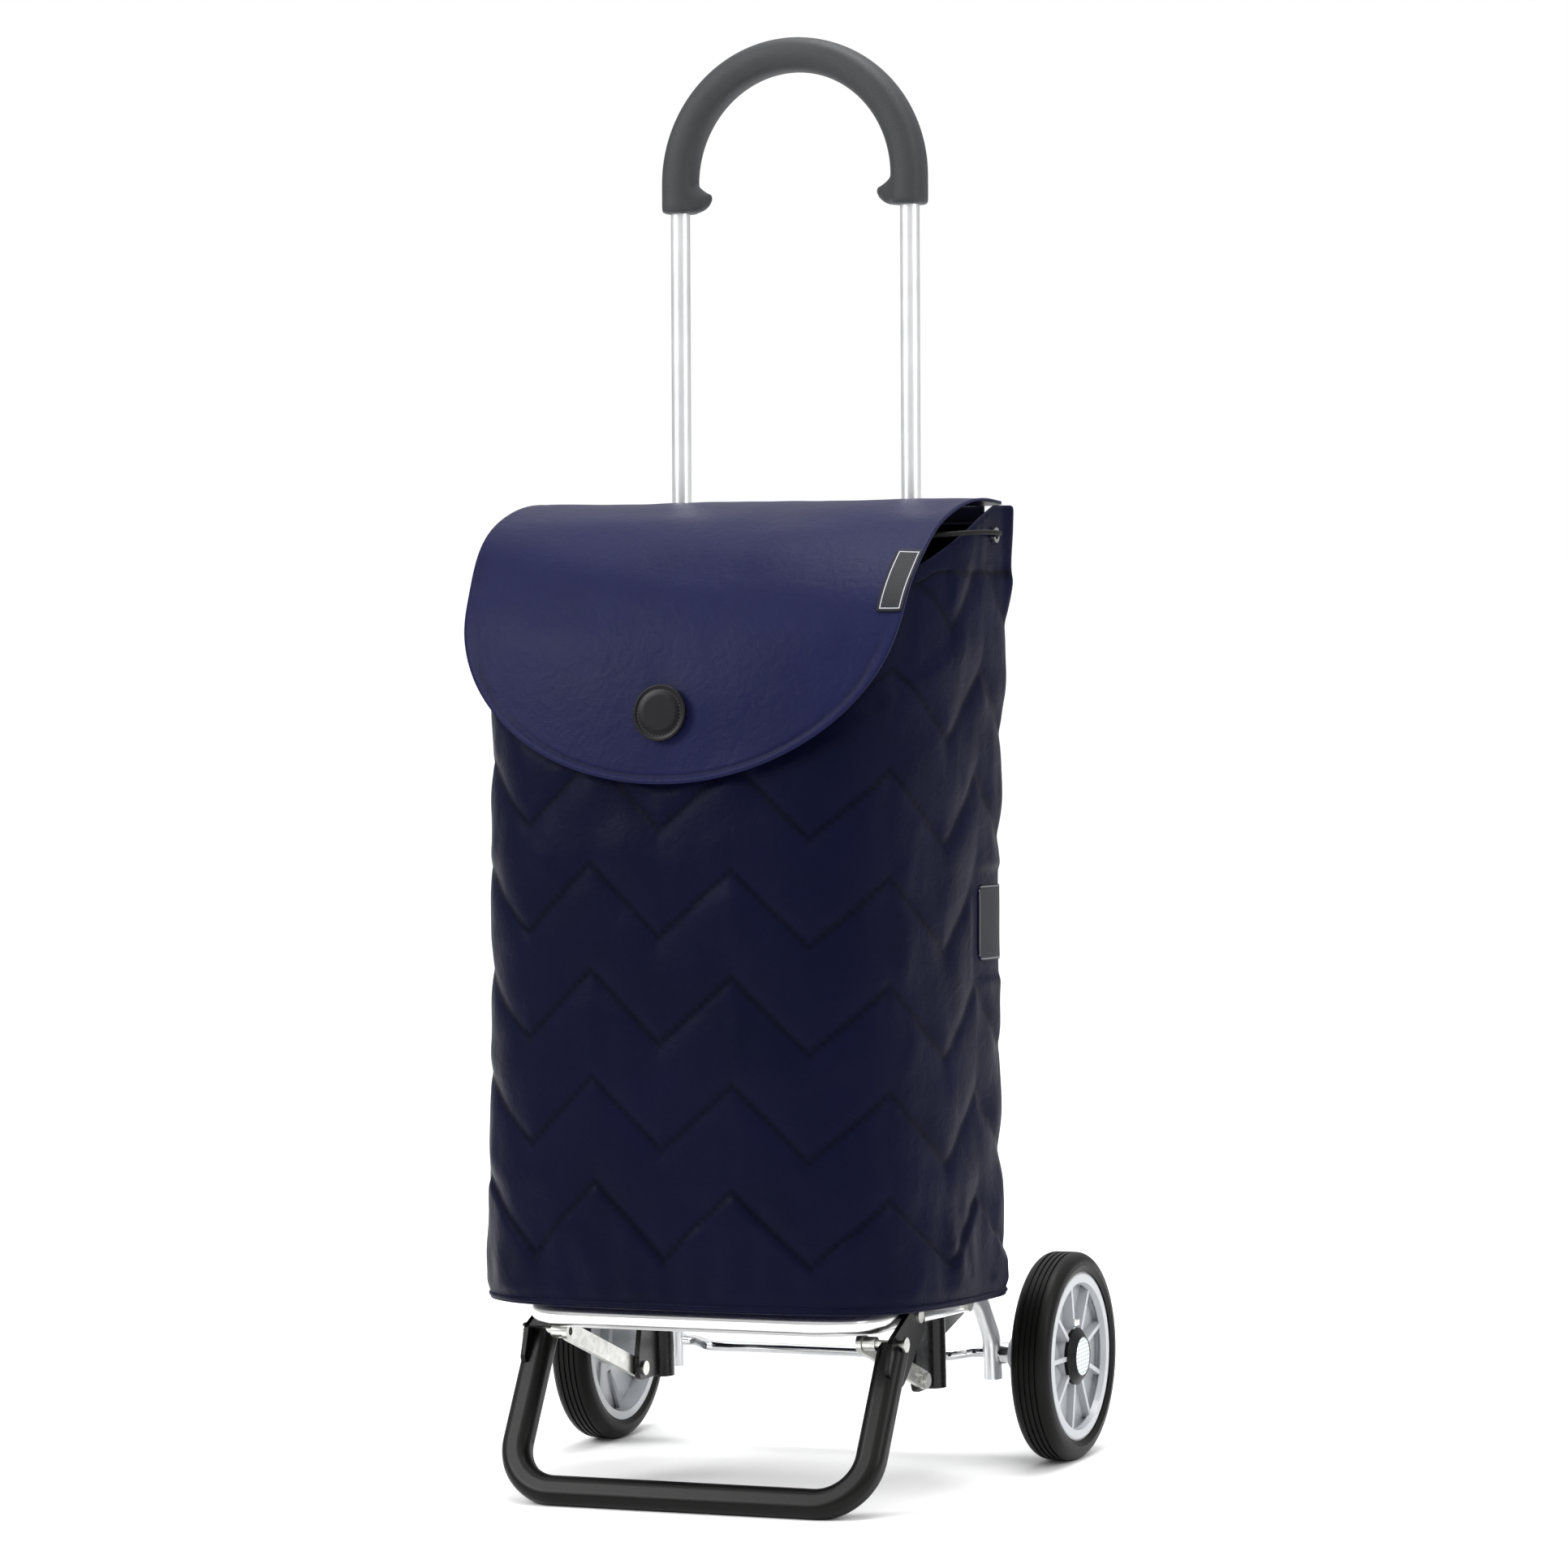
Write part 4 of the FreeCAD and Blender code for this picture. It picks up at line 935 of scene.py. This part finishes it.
def laid_strip(name, corner_points, cells, tree_surface, lift_mm, direction, material, body,
               corner=0.12):
    """A thin strip laid on a surface: four corners, then each point dropped along a direction."""
    a, b, c, d = [np.array(p, float) for p in corner_points]
    u, v = np.meshgrid(np.linspace(0, 1, cells[0]), np.linspace(0, 1, cells[1]))
    u, v = rounded(u, v, corner)
    flat = ((1 - u) * (1 - v))[..., None] * a + (u * (1 - v))[..., None] * b
    flat = flat + (u * v)[..., None] * c + ((1 - u) * v)[..., None] * d
    piece = grid_object(name, flat)
    ray = Vector(direction).normalized()
    for vertex in piece.data.vertices:
        hit = tree_surface.ray_cast(vertex.co - ray * 0.12, ray)
        if hit[0] is not None:
            normal = hit[1] if hit[1].dot(ray) < 0 else -hit[1]
            vertex.co = hit[0] + normal * lift_mm / 1000
    cloth_uv(piece, u.ravel(), v.ravel())
    middle = piece.data.polygons[len(piece.data.polygons) // 2]
    if middle.normal.dot(ray) > 0:
        piece.data.flip_normals()
    apply_modifier(piece, "SOLIDIFY", thickness=0.0009, offset=0.0)
    finish_piece(piece, material, body)
    return piece


def flap_corner(t, x):
    return (x, *profile_point(t, x))


t_top, t_low = t_at_height(657, 160), t_at_height(611, 160)
label = laid_strip("woven_side_label", [flap_corner(t_top, 147.5), flap_corner(t_top, 165.0),
                                        flap_corner(t_low, 165.0), flap_corner(t_low, 147.5)],
                   (9, 22), flap_surface, 0.7, (0, 0.87, -0.5), label_tape, "flap")
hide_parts("side_label")
patches = []
for side, word in ((1, "right"), (-1, "left")):
    x = side * 172
    corners = [(x, -70, 368), (x, -22, 368), (x, -22, 421), (x, -70, 421)]
    patch = laid_strip("reflective_patch_" + word, corners, (20, 20), surface, 0.6, (-side, 0, 0),
                       patch_tape, "frame", 0.3)
    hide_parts("side_patch_" + word)
    patches.append(patch)

# %% [markdown]
# The round closing button is leather-look plastic with a raised rim and a ring of stitches.
# A cylinder is inset and its middle pushed in, then its edges are rounded with a bevel.

# %% Button
BUTTON_Z, BUTTON_R = 543.0, 19.6
low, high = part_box("flap_button")
deselect()
bpy.ops.mesh.primitive_cylinder_add(vertices=96, radius=BUTTON_R / 1000, depth=0.0034)
button = bpy.context.object
button.name = "closing_button"
bpy.ops.object.mode_set(mode="EDIT")
bpy.ops.mesh.select_mode(type="FACE")
bpy.ops.mesh.select_all(action="DESELECT")
bpy.ops.object.mode_set(mode="OBJECT")
for face in button.data.polygons:
    face.select = face.normal.z > 0.9
bpy.ops.object.mode_set(mode="EDIT")
for step, drop in ((0.0022, 0.0), (0.0005, -0.00035), (0.0009, 0.0), (0.0006, 0.0003), (0.004, 0.0)):
    bpy.ops.mesh.inset(thickness=step)
    bpy.ops.transform.translate(value=(0, 0, drop))
bpy.ops.object.mode_set(mode="OBJECT")
apply_modifier(button, "BEVEL", width=0.0006, segments=3,
               limit_method="ANGLE", angle_limit=math.radians(40))
front = leaned(0, -236.2, BUTTON_Z)
turn = Matrix.Rotation(math.radians(90) - math.radians(8.5) - LEAN * 0, 4, "X")
button.data.transform(Matrix.Translation(Vector((0, front.y - 0.0012, front.z))) @ turn)
button.data.update()
finish_piece(button, gloss_black, "flap")
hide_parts("flap_button")

# %% Button stitches
thread = grained("polyester_thread_black", "#1c1c20", "#26262b", 0.5, 0.6, 0.1, 0.5)
deselect()
bpy.ops.mesh.primitive_uv_sphere_add(segments=10, ring_count=6, radius=1.0)
stitch = bpy.context.object
stitch.scale = (0.00105, 0.00042, 0.00042)
bpy.ops.object.transform_apply(location=False, rotation=False, scale=True)
copies = []
for k in range(40):
    angle = 2 * math.pi * k / 40
    part = stitch.copy()
    part.data = stitch.data.copy()
    spot = Matrix.Translation(Vector((0, front.y - 0.0012, front.z))) @ turn @ Matrix.Rotation(angle, 4, "Z")
    part.data.transform(spot @ Matrix.Translation(Vector((0, 0.0159, 0.0011))))
    bpy.context.scene.collection.objects.link(part)
    copies.append(part)
bpy.data.objects.remove(stitch)
deselect()
for part in copies:
    part.select_set(True)
bpy.context.view_layer.objects.active = copies[0]
bpy.ops.object.join()
stitches = bpy.context.object
stitches.name = "button_stitches"
finish_piece(stitches, thread, "flap")

# %% [markdown]
# The drawcord closes the bag's mouth. It comes out of one eyelet, runs round the collar and
# over the mouth through a sliding lock, and goes back in at the other eyelet. Its line is a
# smooth spline with the route's points as its control points.

# %% Drawcord
LOCK_Y, LOCK_Z = -128.0, 663.0
half_route = [(150, -50, 666.0), (188, -54, 667.4), (184, -102, 668.0), (160, -125, 665.0),
              (108, LOCK_Y, 663.5), (56, LOCK_Y, LOCK_Z - 0.5), (18, LOCK_Y, LOCK_Z)]
route = half_route + [(-x, y, z) for x, y, z in reversed(half_route)]
curve = bpy.data.curves.new("mouth_drawcord", "CURVE")
curve.dimensions = "3D"
spline = curve.splines.new("NURBS")
spline.points.add(len(route) - 1)
for point, place_mm in zip(spline.points, route):
    point.co = (*leaned(*place_mm), 1.0)
spline.order_u = 3
spline.use_endpoint_u = True
spline.resolution_u = 10
curve.bevel_depth = 0.00175
curve.bevel_resolution = 4
curve.use_fill_caps = True
drawcord = bpy.data.objects.new("mouth_drawcord", curve)
bpy.context.scene.collection.objects.link(drawcord)
curve.materials.append(cord_braid)
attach(drawcord, "frame")
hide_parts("drawcord")
print("drawcord points", len(route))

# %% [markdown]
# The stage is a wide pale floor under a bright, even sky, as in a white studio. One large soft
# light at the front left shapes the cloth, and a second one gives the metal its long highlights.

# %% Stage and light
deselect()
bpy.ops.mesh.primitive_plane_add(size=60)
floor = bpy.context.object
floor.name = "floor"
floor_paint, tree, shader, where = start_material("paper_white_seamless", "#f4f4f4", 0.9)
floor.data.materials.append(floor_paint)
world = bpy.data.worlds.new("studio")
bpy.context.scene.world = world
world.use_nodes = True
tree = world.node_tree
tree.nodes.clear()
heading = add(tree, "ShaderNodeTexCoord").outputs["Generated"]
height = add(tree, "ShaderNodeSeparateXYZ", {}, {0: heading}).outputs[2]
glow = add(tree, "ShaderNodeMapRange", {"From Min": -0.1, "From Max": 0.9, "To Min": 0.2, "To Max": 1.55},
           {"Value": height})
dome = add(tree, "ShaderNodeBackground", {"Color": (1, 1, 1, 1)}, {"Strength": glow.outputs[0]})
paper = add(tree, "ShaderNodeBackground", {"Color": (1, 1, 1, 1), "Strength": 1.0})
seen = add(tree, "ShaderNodeLightPath").outputs["Is Camera Ray"]
both = add(tree, "ShaderNodeMixShader", {}, {0: seen, 1: dome.outputs[0], 2: paper.outputs[0]})
add(tree, "ShaderNodeOutputWorld", {}, {0: both.outputs[0]})


def soft_light(name, position, target, size, power):
    data = bpy.data.lights.new(name, "AREA")
    data.shape = "RECTANGLE"
    data.size, data.size_y = size
    data.energy = power
    lamp = bpy.data.objects.new(name, data)
    lamp.location = position
    lamp.rotation_euler = (Vector(target) - Vector(position)).to_track_quat("-Z", "Y").to_euler()
    bpy.context.scene.collection.objects.link(lamp)
    print(name, power, "W")


soft_light("key_left", (-2.2, -2.6, 2.4), (0, 0, 0.5), (1.4, 1.8), 95)
soft_light("rim_right", (2.6, -0.4, 1.6), (0, 0, 0.4), (0.8, 2.0), 25)
soft_light("top", (0.2, 0.2, 3.0), (0, 0, 0.5), (1.6, 1.6), 60)
bpy.context.scene.view_settings.view_transform = "Standard"
bpy.context.scene.view_settings.look = "None"
